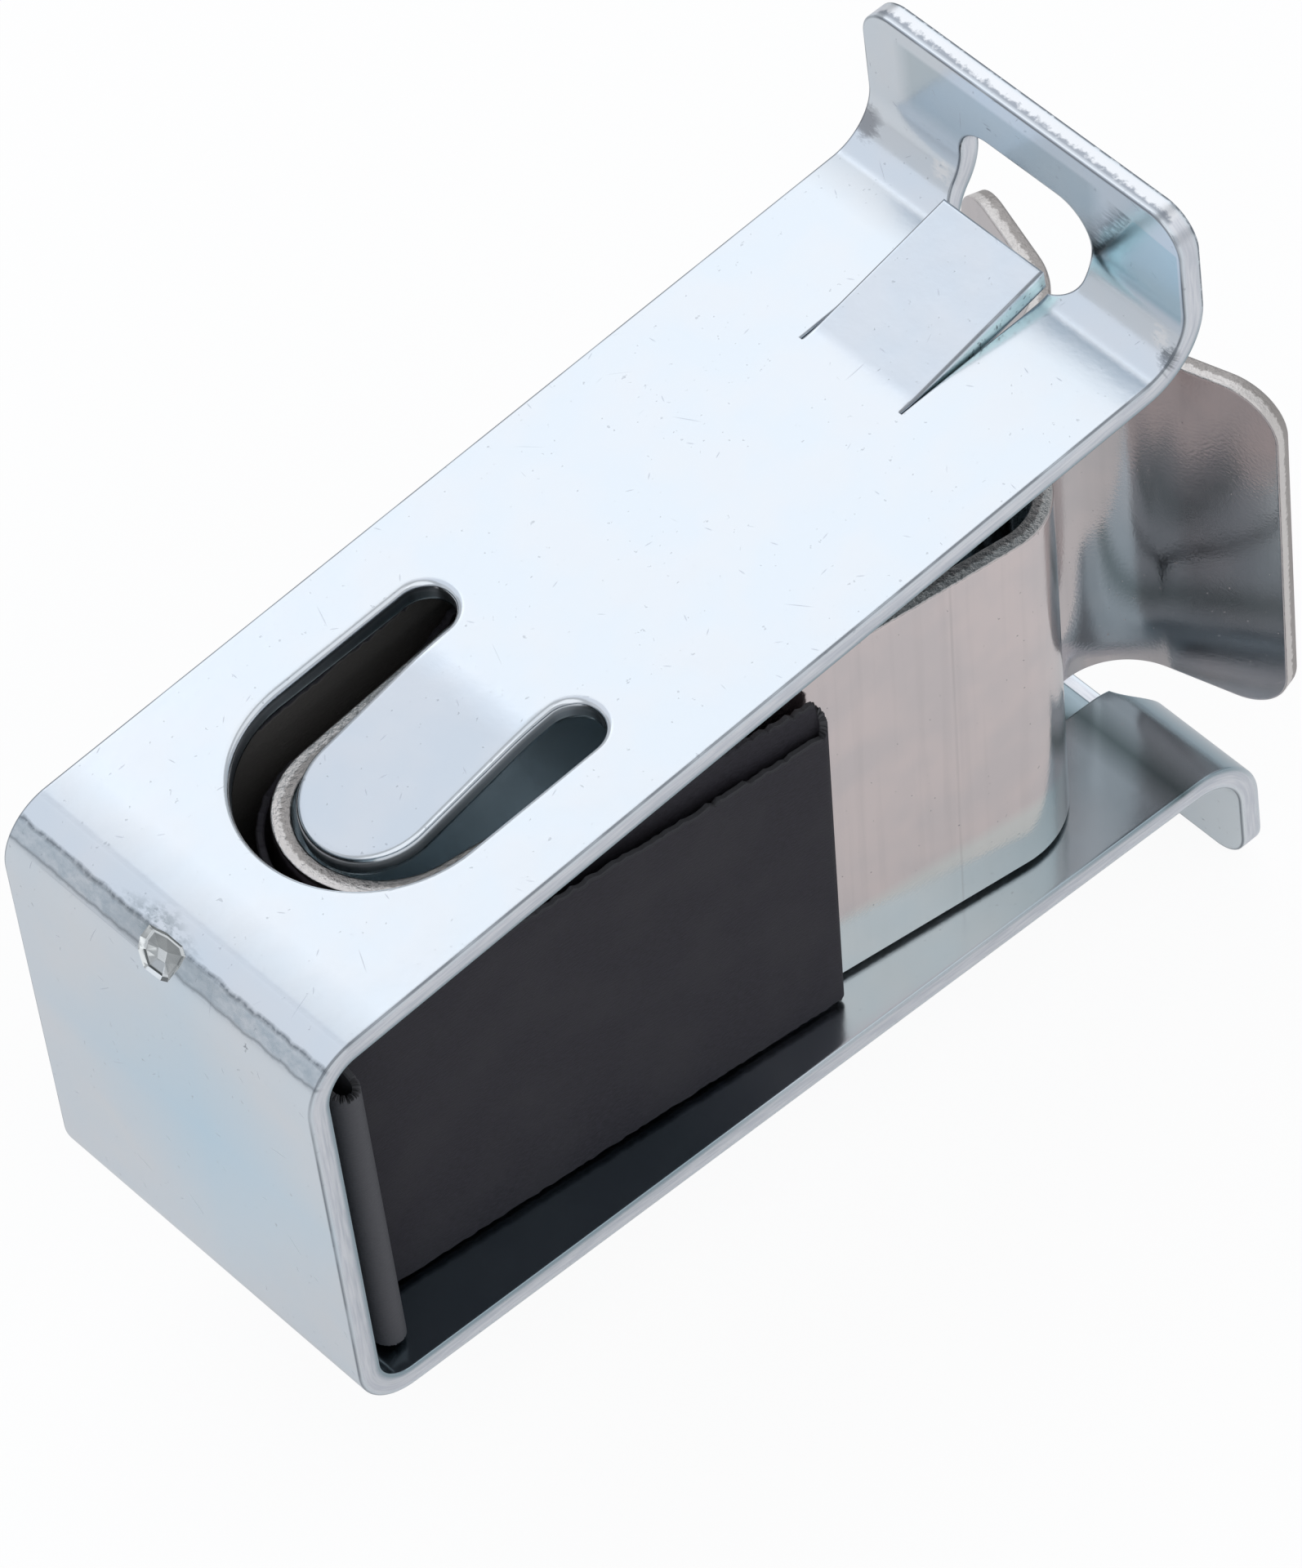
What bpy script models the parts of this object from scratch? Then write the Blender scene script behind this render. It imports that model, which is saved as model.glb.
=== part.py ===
"""Dryer door catch: a folded steel bracket, an omega spring and a black sleeve.

Sizes are in millimetres and are scaled to metres where the meshes are made.
X runs from the closed end of the bracket to its mouth, Y across the strip and Z up.
The origin is the middle of the web's outer face.
"""
import math
import random

import bmesh
import bpy
from mathutils import Vector
from mathutils.geometry import delaunay_2d_cdt

METRE = 0.001

# Bracket strip
STRIP_WIDTH = 19.0
SHEET = 1.1
WEB_HEIGHT = 22.8
SPLAY = math.radians(3.1)
WEB_BEND = 2.8
LIP_BEND = 3.6
LIP_CORNER = 1.8
UPPER_REACH = 50.2
LOWER_REACH = 51.2
UPPER_LIP = 8.5
LOWER_LIP = 7.6

# U-slot and the tongue that it leaves
SLOT_CENTRE = 12.2
SLOT_RADIUS = 5.9
SLOT_ARM = 6.9
TONGUE_HALF = 3.2
TONGUE_TIP = 8.75
TONGUE_PRESS = 1.6

# Lanced barb and the window behind it
BARB_WIDTH = 6.0
BARB_LENGTH = 8.4
BARB_RISE = 1.45
BARB_SHIFT = 0.25
BARB_TO_MOUTH = 2.6
KERF = 0.2
WINDOW_WIDTH = 7.8
WINDOW_CORNER = 1.8
WINDOW_UP_LIP = 5.2

# Dart pressed into the upper web bend
DART_HALF_WIDTH = 1.45
DART_HALF_LENGTH = 1.45
DART_DEPTH = 0.75
DART_SHIFT = 0.85
DART_DROP = 0.5

# Spring
SPRING_SHEET = 0.9
SPRING_HEIGHT = 20.0
SPRING_CORNER = 2.6
CLOSED_END = 11.4
CLOSED_RADIUS = 4.75
LEG_ANGLE = math.radians(6.2)
LEG_LENGTH = 28.6
SHOULDER_RADIUS = 4.2
INWARD_ANGLE = math.radians(70)
THROAT_GAP = 1.0
THROAT_RADIUS = 3.6
FLARE_ANGLE = math.radians(73)
FLARE_OVERHANG = 0.1
MOUTH_LEAN = math.radians(1.6)

# Sleeve
SLEEVE_SHEET = 0.35
SLEEVE_HEIGHT = 16.7
SLEEVE_SLANT = 0.29
INNER_RISE = 1.4
SLEEVE_REACH = 28.8
SLEEVE_FOLD = 0.9
SLEEVE_DIVERGE = math.radians(4.4)
EAR_WIDTH = 1.5
EAR_INSET = 1.05
EAR_TO_WEB = 1.05
EAR_CORNER = 0.9
RAGGED_EDGE = 0.07

# Fits
SEAT_GAP = 0.3
SLEEVE_GAP = 0.3
ROOF_GAP = 0.6

# Facets
BEND_STEP = math.radians(7.5)
RAGGED_STEP = 0.6
TOUCH = 0.001


def arc_steps(angle):
    return max(2, math.ceil(abs(angle) / BEND_STEP))


class Track:
    """A plane line of straight runs and tangent arcs, read by the distance along it."""

    def __init__(self, x, y, heading):
        self.pieces = []
        self.length = 0.0
        self.end = (x, y, heading)

    def run(self, length):
        self.add(length, 0.0)

    def turn(self, angle, radius):
        self.add(abs(angle) * radius, math.copysign(1 / radius, angle))

    def add(self, length, curve):
        self.pieces.append((self.length, length, curve, self.end))
        self.length += length
        self.end = self.at(self.length)

    def at(self, distance):
        start, length, curve, (x, y, heading) = self.pieces[0]
        for piece in self.pieces:
            if distance >= piece[0] - TOUCH:
                start, length, curve, (x, y, heading) = piece
        step = distance - start
        if curve == 0:
            return (x + step * math.cos(heading), y + step * math.sin(heading), heading)
        turned = heading + step * curve
        return (x + (math.sin(turned) - math.sin(heading)) / curve,
                y - (math.cos(turned) - math.cos(heading)) / curve, turned)

    def stations(self):
        """Distances at each piece's start and at even steps along each arc."""
        marks = []
        for start, length, curve, _ in self.pieces:
            count = arc_steps(length * curve) if curve else 1
            marks += [start + length * step / count for step in range(count)]
        return marks


def arc(centre, radius, start, end):
    """Points on an arc in the flat pattern, both ends included."""
    count = arc_steps(end - start)
    angles = [start + (end - start) * step / count for step in range(count + 1)]
    return [(centre[0] + radius * math.cos(a), centre[1] + radius * math.sin(a)) for a in angles]


def rounded_rectangle(low, high, corner):
    """Outline from the lowest to the highest corner, all four corners rounded."""
    left, bottom = low[0] + corner, low[1] + corner
    right, top = high[0] - corner, high[1] - corner
    quarter = math.pi / 2
    return (arc((right, top), corner, 0, quarter) + arc((left, top), corner, quarter, 2 * quarter)
            + arc((left, bottom), corner, 2 * quarter, 3 * quarter)
            + arc((right, bottom), corner, 3 * quarter, 4 * quarter))


def inside(loop, x, y):
    hit = False
    for (x0, y0), (x1, y1) in zip(loop, loop[1:] + loop[:1]):
        if (y0 > y) != (y1 > y) and x < x0 + (y - y0) * (x1 - x0) / (y1 - y0):
            hit = not hit
    return hit


def flat_pattern(outline, holes, creases):
    """Triangles of the flat sheet, with an edge along each crease line."""
    points = []
    edges = []
    for loop in [outline] + holes:
        first = len(points)
        points += loop
        edges += [(first + i, first + (i + 1) % len(loop)) for i in range(len(loop))]
    for start, end in creases:
        edges.append((len(points), len(points) + 1))
        points += [start, end]
    result = delaunay_2d_cdt([Vector(p) for p in points], edges, [], 0, TOUCH)
    flat, faces = result[0], result[2]
    kept = []
    for face in faces:
        x = sum(flat[i].x for i in face) / len(face)
        y = sum(flat[i].y for i in face) / len(face)
        if inside(outline, x, y) and not any(inside(hole, x, y) for hole in holes):
            kept.append(tuple(face))
    return [(p.x, p.y) for p in flat], kept


def sheet_mesh(name, pattern, thickness, place):
    """Closed mesh of a folded sheet: place takes a flat point and its height in the sheet."""
    flat, faces = pattern
    used = sorted({i for face in faces for i in face})
    mesh = bmesh.new()
    skins = []
    for side in (thickness / 2, -thickness / 2):
        skins.append({i: mesh.verts.new(place(*flat[i], side) * METRE) for i in used})
    walls = {}
    for face in faces:
        mesh.faces.new([skins[0][i] for i in face])
        mesh.faces.new([skins[1][i] for i in reversed(face)])
        for pair in zip(face, face[1:] + face[:1]):
            key = tuple(sorted(pair))
            walls[key] = None if key in walls else pair
    for pair in walls.values():
        if pair:
            a, b = pair
            mesh.faces.new([skins[0][b], skins[0][a], skins[1][a], skins[1][b]])
    return finish_mesh(name, mesh)


def finish_mesh(name, mesh):
    bmesh.ops.recalc_face_normals(mesh, faces=mesh.faces)
    data = bpy.data.meshes.new(name)
    mesh.to_mesh(data)
    mesh.free()
    data.shade_smooth()
    data.set_sharp_from_angle(angle=math.radians(25))
    return data


def material(name, colour, roughness, metallic):
    made = bpy.data.materials.new(name)
    made.use_nodes = True
    shader = made.node_tree.nodes["Principled BSDF"]
    shader.inputs["Base Color"].default_value = (*colour, 1)
    shader.inputs["Roughness"].default_value = roughness
    shader.inputs["Metallic"].default_value = metallic
    return made


def add_object(name, data, finish, parent=None):
    made = bpy.data.objects.new(name, data)
    made.data.materials.append(finish)
    made.parent = parent
    bpy.context.scene.collection.objects.link(made)
    return made


class Flange:
    """One half of the bracket's strip, from the middle of the web to a lip's edge."""

    def __init__(self, reach, lip):
        fold = math.pi / 2 - SPLAY
        web_setback = WEB_BEND * math.tan(fold / 2)
        lip_setback = LIP_BEND * math.tan(fold / 2)
        corner = (reach - SHEET * math.sin(SPLAY)) / math.cos(SPLAY)
        self.track = Track(SHEET / 2, 0, math.pi / 2)
        self.track.run(WEB_HEIGHT / 2 - web_setback)
        self.track.turn(-fold, WEB_BEND - SHEET / 2)
        self.flange_start = self.track.length - web_setback
        self.dart_centre = self.track.length - fold * (WEB_BEND - SHEET / 2) / 2 - DART_DROP
        self.track.run(corner - lip_setback - web_setback)
        self.track.turn(fold, LIP_BEND - SHEET / 2)
        self.window_top = self.track.length + WINDOW_UP_LIP - lip_setback
        self.track.run(lip - lip_setback)
        self.barb_end = corner - BARB_TO_MOUTH
        self.barb_base = self.barb_end - BARB_LENGTH
        self.hinge = SLOT_CENTRE + SLOT_ARM

    def flat(self, along):
        """Flat-pattern distance of a point measured along the flange from the web's outer corner."""
        return self.flange_start + along

    def slot(self):
        """Horseshoe slot round the tongue."""
        tip = self.flat(TONGUE_TIP + TONGUE_HALF)
        middle = (SLOT_RADIUS + TONGUE_HALF) / 2
        half = (SLOT_RADIUS - TONGUE_HALF) / 2
        arm = self.flat(self.hinge)
        quarter = math.pi / 2
        return (arc((self.flat(SLOT_CENTRE), 0), SLOT_RADIUS, quarter, 3 * quarter)
                + arc((arm, -middle), half, -quarter, quarter)
                + arc((tip, 0), TONGUE_HALF, 3 * quarter, quarter)
                + arc((arm, middle), half, -quarter, quarter))

    def window(self):
        """Rounded window with the two lancing cuts along the barb."""
        low = self.flat(self.barb_end)
        base = self.flat(self.barb_base)
        half = BARB_WIDTH / 2
        cut = half + KERF
        wide = WINDOW_WIDTH / 2
        corner = WINDOW_CORNER
        quarter = math.pi / 2
        near = {}
        for side in (1, -1):
            meet = math.asin((cut + side * BARB_SHIFT - wide + corner) / corner)
            near[side] = arc((low + corner, wide - corner), corner, math.pi - meet, quarter)
        top = arc((self.window_top - corner, wide - corner), corner, quarter, 0)
        sides = []
        for side in (1, -1):
            shift = BARB_SHIFT
            slit = [(low, side * half + shift), (base, side * half + shift), (base, side * cut + shift)]
            sides.append(slit + [(x, side * y) for x, y in near[side] + top])
        return sides[0] + list(reversed(sides[1]))

    def in_tongue(self, along, across):
        if along > self.hinge + TOUCH or abs(across) > TONGUE_HALF + TOUCH:
            return False
        past_tip = min(0.0, along - TONGUE_TIP - TONGUE_HALF)
        return math.hypot(past_tip, across) <= TONGUE_HALF + TOUCH

    def in_barb(self, along, across):
        return (abs(across - BARB_SHIFT) <= BARB_WIDTH / 2 + TOUCH
                and self.barb_base - TOUCH <= along <= self.barb_end + TOUCH)

    def place(self, flat, across, height, dart):
        """Point of the folded half: x, z and the outward height above the sheet's middle."""
        along = flat - self.flange_start
        if self.in_barb(along, across):
            height += BARB_RISE * (along - self.barb_base) / BARB_LENGTH
            x, z, heading = self.track.at(self.flat(self.barb_base))
            x += (along - self.barb_base) * math.cos(heading)
            z += (along - self.barb_base) * math.sin(heading)
        else:
            x, z, heading = self.track.at(flat)
        if self.in_tongue(along, across):
            height -= TONGUE_PRESS * (self.hinge - along) / (self.hinge - TONGUE_TIP)
        x -= height * math.sin(heading)
        z += height * math.cos(heading)
        if dart:
            inset = abs(across - DART_SHIFT) / DART_HALF_WIDTH
            inset += abs(flat - self.dart_centre) / DART_HALF_LENGTH
            depth = DART_DEPTH * max(0.0, 1 - inset)
            bisector = self.track.at(self.dart_centre)[2]
            x += depth * math.sin(bisector)
            z -= depth * math.cos(bisector)
        return x, z

    def creases(self):
        """Fold lines: bend stations right across, the tongue's root and the barb's root."""
        edge = STRIP_WIDTH
        hinge = self.flat(self.hinge)
        base = self.flat(self.barb_base)
        barb = BARB_WIDTH / 2
        lines = [((mark, -edge), (mark, edge)) for mark in self.track.stations() if mark > 0]
        lines.append(((hinge, -TONGUE_HALF), (hinge, TONGUE_HALF)))
        lines.append(((base, BARB_SHIFT - barb), (base, BARB_SHIFT + barb)))
        return lines

    def dart_creases(self):
        x, y = self.dart_centre, DART_SHIFT
        middle = (x, y)
        ring = [(x - DART_HALF_LENGTH, y), (x, y - DART_HALF_WIDTH),
                (x + DART_HALF_LENGTH, y), (x, y + DART_HALF_WIDTH)]
        return [(middle, corner) for corner in ring] + list(zip(ring, ring[1:] + ring[:1]))


def mirrored(lines):
    return [[(-x, y) for x, y in line] for line in lines]


def make_bracket():
    upper = Flange(UPPER_REACH, UPPER_LIP)
    lower = Flange(LOWER_REACH, LOWER_LIP)
    half = STRIP_WIDTH / 2
    outline = rounded_rectangle((-lower.track.length, -half), (upper.track.length, half), LIP_CORNER)
    holes = [upper.slot(), upper.window()] + mirrored([lower.slot(), lower.window()])
    creases = upper.creases() + upper.dart_creases() + mirrored(lower.creases())
    pattern = flat_pattern(outline, holes, creases)

    def place(flat, across, height):
        if flat >= 0:
            x, z = upper.place(flat, across, height, dart=True)
            return Vector((x, across, z))
        x, z = lower.place(-flat, across, height, dart=False)
        return Vector((x, across, -z))

    zinc = material("zinc_plate", (0.78, 0.82, 0.86), 0.28, 1.0)
    return add_object("bracket", sheet_mesh("bracket", pattern, SHEET, place), zinc)


def make_seat():
    """Frame on the lower flange's inner face, where the spring and the sleeve stand."""
    seat = bpy.data.objects.new("lower_flange_seat", None)
    low = -WEB_HEIGHT / 2 + SHEET * math.cos(SPLAY)
    seat.location = Vector((SHEET * math.sin(SPLAY), 0, low)) * METRE
    seat.rotation_euler = (0, SPLAY, 0)
    bpy.context.scene.collection.objects.link(seat)
    return seat


def share(value, start, end):
    """How far a value has come from start to end, between 0 and 1."""
    return min(1.0, max(0.0, (value - start) / (end - start)))


def roof(x):
    """Height of the upper flange's inner face over the seat."""
    gap = WEB_HEIGHT - 2 * SHEET * math.cos(SPLAY)
    return gap * math.cos(SPLAY) + (x + gap * math.sin(SPLAY)) * math.tan(2 * SPLAY)


def spring_track():
    """Half of the spring's middle line, and the distances to its shoulder and its throat."""
    half = SPRING_SHEET / 2
    track = Track(CLOSED_END - CLOSED_RADIUS + half, 0, -math.pi / 2)
    track.turn(math.pi / 2 - LEG_ANGLE, CLOSED_RADIUS - half)
    track.run(LEG_LENGTH)
    shoulder = track.length
    track.turn(LEG_ANGLE + INWARD_ANGLE, SHOULDER_RADIUS - half)
    throat = THROAT_RADIUS + half
    waist = -THROAT_GAP / 2 - half - throat * (1 - math.cos(INWARD_ANGLE))
    track.run((waist - track.end[1]) / math.sin(INWARD_ANGLE))
    mouth = track.length
    track.turn(-INWARD_ANGLE - FLARE_ANGLE, throat)
    track.run((track.end[1] + STRIP_WIDTH / 2 + FLARE_OVERHANG) / math.sin(FLARE_ANGLE))
    return track, shoulder, mouth


def make_spring(seat):
    track, shoulder, mouth = spring_track()
    end = track.length
    middle = SEAT_GAP + SPRING_HEIGHT / 2
    outline = rounded_rectangle((-end, SEAT_GAP), (end, SEAT_GAP + SPRING_HEIGHT), SPRING_CORNER)
    marks = track.stations()
    marks = marks + [-mark for mark in marks[1:]]
    creases = [((mark, 0), (mark, SPRING_HEIGHT + 2 * SEAT_GAP)) for mark in marks]
    pattern = flat_pattern(outline, [], creases)

    def place(flat, up, height):
        x, y, heading = track.at(abs(flat))
        x -= height * math.sin(heading)
        y += height * math.cos(heading)
        x -= share(abs(flat), shoulder, mouth) * math.tan(MOUTH_LEAN) * (up - middle)
        return Vector((x, math.copysign(1, flat + TOUCH) * y, up))

    steel = material("spring_steel", (0.62, 0.57, 0.56), 0.25, 1.0)
    return add_object("spring_clip", sheet_mesh("spring_clip", pattern, SPRING_SHEET, place), steel, seat)


def sleeve_track():
    """Half of the sleeve's middle line, from the spring's closed end out and back to the web.

    The distances to its outer fold and to its ear come with it.
    """
    half = SLEEVE_SHEET / 2
    radius = CLOSED_RADIUS + SLEEVE_GAP + half
    fold = (SLEEVE_FOLD - SLEEVE_SHEET) / 2
    ear = (EAR_WIDTH - SLEEVE_SHEET) / 2
    track = Track(CLOSED_END - radius, 0, -math.pi / 2)
    track.turn(math.pi / 2 - LEG_ANGLE, radius)
    track.run((SLEEVE_REACH - half - fold - track.end[0]) / math.cos(LEG_ANGLE))
    outer_fold = track.length
    track.turn(-(math.pi - LEG_ANGLE + SLEEVE_DIVERGE), fold)
    web_layer = SHEET + EAR_TO_WEB + half
    return_layer = web_layer + 2 * ear
    sweep = EAR_CORNER * (1 + math.sin(SLEEVE_DIVERGE))
    track.run((track.end[0] - return_layer - sweep) / math.cos(SLEEVE_DIVERGE))
    ear_start = track.length
    track.turn(math.pi / 2 + SLEEVE_DIVERGE, EAR_CORNER)
    track.run(track.end[1] + STRIP_WIDTH / 2 - EAR_INSET - half - ear)
    track.turn(-math.pi, ear)
    track.run(-track.end[1])
    return track, outer_fold, ear_start


def make_sleeve(seat):
    """Closed band, stood on the lower flange round the spring's closed end.

    Its outer layers turn upright towards the web, and its torn top edge rises to the far side.
    """
    track, outer_fold, ear_start = sleeve_track()
    marks = []
    ends = track.stations() + [track.length]
    for start, end in zip(ends, ends[1:]):
        count = max(1, round((end - start) / RAGGED_STEP))
        marks += [start + (end - start) * step / count for step in range(count)]
    marks.append(track.length)
    ring = [(mark, 1) for mark in marks] + [(mark, -1) for mark in reversed(marks[1:-1])]
    tear = random.Random(3)
    mesh = bmesh.new()
    rows = []
    for mark, side in ring:
        x, y, heading = track.at(mark)
        upright = share(mark, outer_fold, ear_start)
        fold_left = 1 - share(mark, outer_fold, outer_fold + SLEEVE_FOLD)
        top = SEAT_GAP + SLEEVE_HEIGHT + INNER_RISE * fold_left
        top += SLEEVE_SLANT * (side * y + STRIP_WIDTH / 2 - EAR_INSET)
        top = min(top, roof(x) - ROOF_GAP) + tear.uniform(-RAGGED_EDGE, RAGGED_EDGE)
        row = []
        for offset, up in ((-1, SEAT_GAP), (1, SEAT_GAP), (1, top), (-1, top)):
            reach = offset * SLEEVE_SHEET / 2
            across = side * (y + reach * math.cos(heading))
            lean = upright * up * math.tan(SPLAY)
            row.append(mesh.verts.new(Vector((x - reach * math.sin(heading) - lean, across, up)) * METRE))
        rows.append(row)
    for row, following in zip(rows, rows[1:] + rows[:1]):
        for i in range(4):
            j = (i + 1) % 4
            mesh.faces.new([row[i], row[j], following[j], following[i]])
    rubber = material("black_rubber", (0.03, 0.03, 0.033), 0.75, 0.0)
    return add_object("sleeve", finish_mesh("sleeve", mesh), rubber, seat)


def build():
    for item in list(bpy.data.objects):
        bpy.data.objects.remove(item)
    make_bracket()
    seat = make_seat()
    make_spring(seat)
    make_sleeve(seat)


build()
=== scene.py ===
"""Looks of the dryer door catch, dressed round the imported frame.

Sizes are in millimetres and are scaled to metres where the meshes are made.
Each sheet is cut flat with rounded edges and then folded, and its flat coordinates are kept
on the mesh, so that scratches, crease lines and worn edges follow the strip.
"""
import math
import random

import bmesh
import bpy
import numpy as np
from mathutils import Matrix, Vector
from mathutils.geometry import delaunay_2d_cdt


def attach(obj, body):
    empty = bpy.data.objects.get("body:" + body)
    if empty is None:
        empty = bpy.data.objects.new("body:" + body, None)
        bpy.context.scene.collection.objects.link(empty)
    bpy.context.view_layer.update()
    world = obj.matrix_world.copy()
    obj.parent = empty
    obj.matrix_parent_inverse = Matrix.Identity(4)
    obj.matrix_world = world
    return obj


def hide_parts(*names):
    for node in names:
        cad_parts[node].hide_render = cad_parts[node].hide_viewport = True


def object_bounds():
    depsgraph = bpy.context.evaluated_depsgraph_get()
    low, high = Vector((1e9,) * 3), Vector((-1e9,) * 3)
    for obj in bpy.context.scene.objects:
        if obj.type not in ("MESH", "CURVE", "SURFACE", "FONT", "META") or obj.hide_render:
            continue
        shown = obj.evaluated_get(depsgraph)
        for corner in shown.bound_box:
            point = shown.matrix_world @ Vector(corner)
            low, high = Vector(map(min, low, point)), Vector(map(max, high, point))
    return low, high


METRE = 0.001
QUARTER = math.pi / 2

# Camera: place, axes and nearest distance seen in metres, lens and long side of the sensor in mm
CAMERA_PLACE = (-0.133045, -0.219544, 0.330297)
CAMERA_RIGHT = (0.7352789, -0.6714563, -0.0922569)
CAMERA_UP = (0.5671405, 0.5350102, 0.6261914)
CAMERA_BACK = (-0.3711018, -0.5127480, 0.7741918)
CAMERA_NEAR = 0.01
CAMERA_LENS = 234.6
CAMERA_SENSOR = 36

# Floor: room under the lower lip's edge, half its width in metres, its shine, its brightness,
# and how much of that the camera and mirror reflections see
FLOOR_GAP = 0.05
FLOOR_HALF = 1.5
FLOOR_ROUGHNESS = 0.9
FLOOR_GLOW = 1.06
GLOW_TO_CAMERA = 0.86
GLOW_TO_GLOSS = 0.2

# Softboxes, in metres: for each the name, start and end of its sweep and its rise in degrees,
# radiance and colour
SOFTBOX_DISTANCE = 1.2
SOFTBOX_HEIGHT = 1.0
SOFTBOX_CENTRE = (0.025, 0, 0)
SOFTBOXES = (("back_softbox", -47, 12, 31, 0.33, (0.82, 0.88, 1.0)),
             ("low_back_softbox", -88, -47, 31, 0.12, (0.9, 0.93, 1.0)),
             ("top_softbox", 12, 60, 31, 0.585, (0.96, 0.975, 1.0)),
             ("feather_near", 7.5, 12, 31, 0.20, (0.96, 0.975, 1.0)),
             ("feather_far", 3, 7.5, 31, 0.1, (0.96, 0.975, 1.0)),
             ("front_left", -75, 0, -33, 0.5, (1.0, 1.0, 1.0)),
             ("front_right", 0, 60, -33, 0.35, (1.0, 1.0, 1.0)))

# World: the colour and strength that light the object; the camera sees white
WORLD_COLOUR = (0.62, 0.64, 0.67)
WORLD_STRENGTH = 0.75
WHITE = (1, 1, 1)

# Bracket strip
STRIP_WIDTH = 19.0
SHEET = 1.1
WEB_HEIGHT = 22.8
SPLAY = math.radians(3.1)
WEB_BEND = 2.8
LIP_BEND = 3.6
LIP_CORNER = 1.8
UPPER_REACH = 50.2
LOWER_REACH = 51.2
UPPER_LIP = 8.5
LOWER_LIP = 7.6

# U-slot and the tongue that it leaves
SLOT_CENTRE = 12.2
SLOT_RADIUS = 5.9
SLOT_ARM = 6.9
TONGUE_HALF = 3.2
TONGUE_TIP = 8.75
TONGUE_PRESS = 1.6
TONGUE_ROOT = 2.4

# Lanced barb and the window behind it
BARB_WIDTH = 6.0
BARB_LENGTH = 8.4
BARB_RISE = 1.45
BARB_SHIFT = 0.25
BARB_ROOT = 1.0
BARB_TO_MOUTH = 2.6
KERF = 0.05
WINDOW_WIDTH = 7.8
WINDOW_CORNER = 1.8
WINDOW_UP_LIP = 5.2

# Dart crushed into the upper web bend: corners in the flat pattern, size and depth of its rings,
# and the grey of each facet from the first corner round, which lays painted highlight and shade on
# it
DART_OUTLINE = ((10.4, 1.4), (10.9, 1.3), (11.05, 0.4), (11.05, -0.6), (10.85, -1.0),
                (10.4, -1.0), (9.7, -0.7), (9.55, -0.3), (9.5, 0.7), (10.0, 1.3))
DART_FLOOR = ((10.35, 0.65), (10.4, 0.15), (10.05, 0.05), (10.0, 0.5))
DART_RINGS = ((1.0, 0.0), (0.84, 0.14), (0.74, 0.17))
DART_DEPTH = 0.42
DART_PAINTED_LIGHTS = ((0.60, 0.30, 0.24, 1.00, 0.62, 0.62, 0.30, 1.00, 0.80, 0.95),
              (1.00, 1.00, 1.00, 0.90, 0.32, 0.48, 1.00, 0.12, 0.24, 1.00),
              (0.52, 0.44, 0.38, 0.36, 0.50, 0.58, 0.90, 0.55, 0.74, 0.60))
DART_FLOOR_PAINTED_LIGHT = 0.97

# Noise values between which a tint or the shine changes over
MID_NOISE = (0.35, 0.65)
ROUGH_NOISE = (0.3, 0.7)

# Noises: scale, detail and roughness, and for some a stretch and a turn that come before
CLOUD = (0.3, 2.0)
FINE = (3.2, 2.0, 0.6)
RUBBED = ((2.2, 1.0, 1.0), 0.4), (1.4, 3.0, 0.65)
STREAKS = ((0.7, 0.7, 9.0),), (1.0, 1.0)
WANDER = (0.9, 3.0, 0.6)
BROKEN = (3.5, 2.0)
HATCHED = ((5.0, 2.0, 1.0), 0.9), (1.0, 3.0)
STEEL_CLOUD = (0.25, 2.0, 0.6)
STEEL_GRAIN = ((1.6, 0.05, 1.0),), (1.0, 2.0)
STEEL_GRIT = (6.0, 2.0)
SHEAR_RAG = (4.0, 3.0, 0.7)
FIBRE = ((3.0, 9.0, 3.0),), (1.0, 4.0, 0.65)

# Zinc: the plate's two tints, and each mark's shade and strength
ZINC = ((0.81, 0.87, 0.925), (0.84, 0.88, 0.92))
# painted reflection: the web's middle is coloured bluer to stand in for what it reflects
WEB_PAINTED_REFLECTION = ((0.65, 0.85, 0.99), 0.9)
# painted shade on the inner skin under the sleeve and along the lower flange
INNER_U_PAINTED_SHADE = ((0.26, 0.36, 0.41), 1.0)
# painted shade: a dark band across the lower flange's inner skin by the mouth
MOUTH_PAINTED_SHADE = ((0.10, 0.15, 0.16), 0.85)
# painted sheen: the lower lip's outer face made paler to stand in for a reflection
LOWER_LIP_PAINTED_SHEEN = ((0.92, 0.98, 1.0), 0.55)
# painted shade just past the upper web bend and before the upper lip's bend
BEND_PAINTED_SHADE = ((0.05, 0.08, 0.12), 0.2)
# painted reflection: a soft bluish patch on the upper lip
LIP_PAINTED_REFLECTION = ((0.25, 0.38, 0.42), 0.36)
SPECKS = ((0.35, 0.38, 0.42), 0.4)
SCRATCHES = ((0.50, 0.54, 0.60), 0.45)
FOLD_BAND = (0.51, 0.60, 0.67)
FOLD_CREASES = ((0.14, 0.17, 0.20), 0.8)
SCUFF = ((0.30, 0.35, 0.37), 0.85)
LIP_PANEL = ((0.50, 0.72, 0.80), 0.6)
LIP_HATCH = ((0.20, 0.24, 0.27), 0.7)
# painted shade: dark lines along the cut edges' rounded rims
EDGE_PAINTED_SHADE = ((0.13, 0.15, 0.18), 0.85)

# Zinc: colours of the dart's darkest and brightest facet, a painted shade and a painted glint, and
# of the sheared edges
DART_SHADE_AND_GLINT = ((0.0, 0.01, 0.01), (0.97, 1.0, 1.0))
SHEARED = ((0.74, 0.76, 0.82), (0.90, 0.91, 0.95))
# painted dark reflection on the slot walls
SLOT_WALL_DARK_REFLECTION = (0.22, 0.25, 0.28)
LIP_EDGE_PALE = (0.96, 0.97, 0.99)
LIP_EDGE_TORN = (0.36, 0.39, 0.44)
BARB_WALL = ((0.74, 0.95, 0.95), (0.22, 0.30, 0.31))
SHEARED_STRENGTH = 0.85
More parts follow.
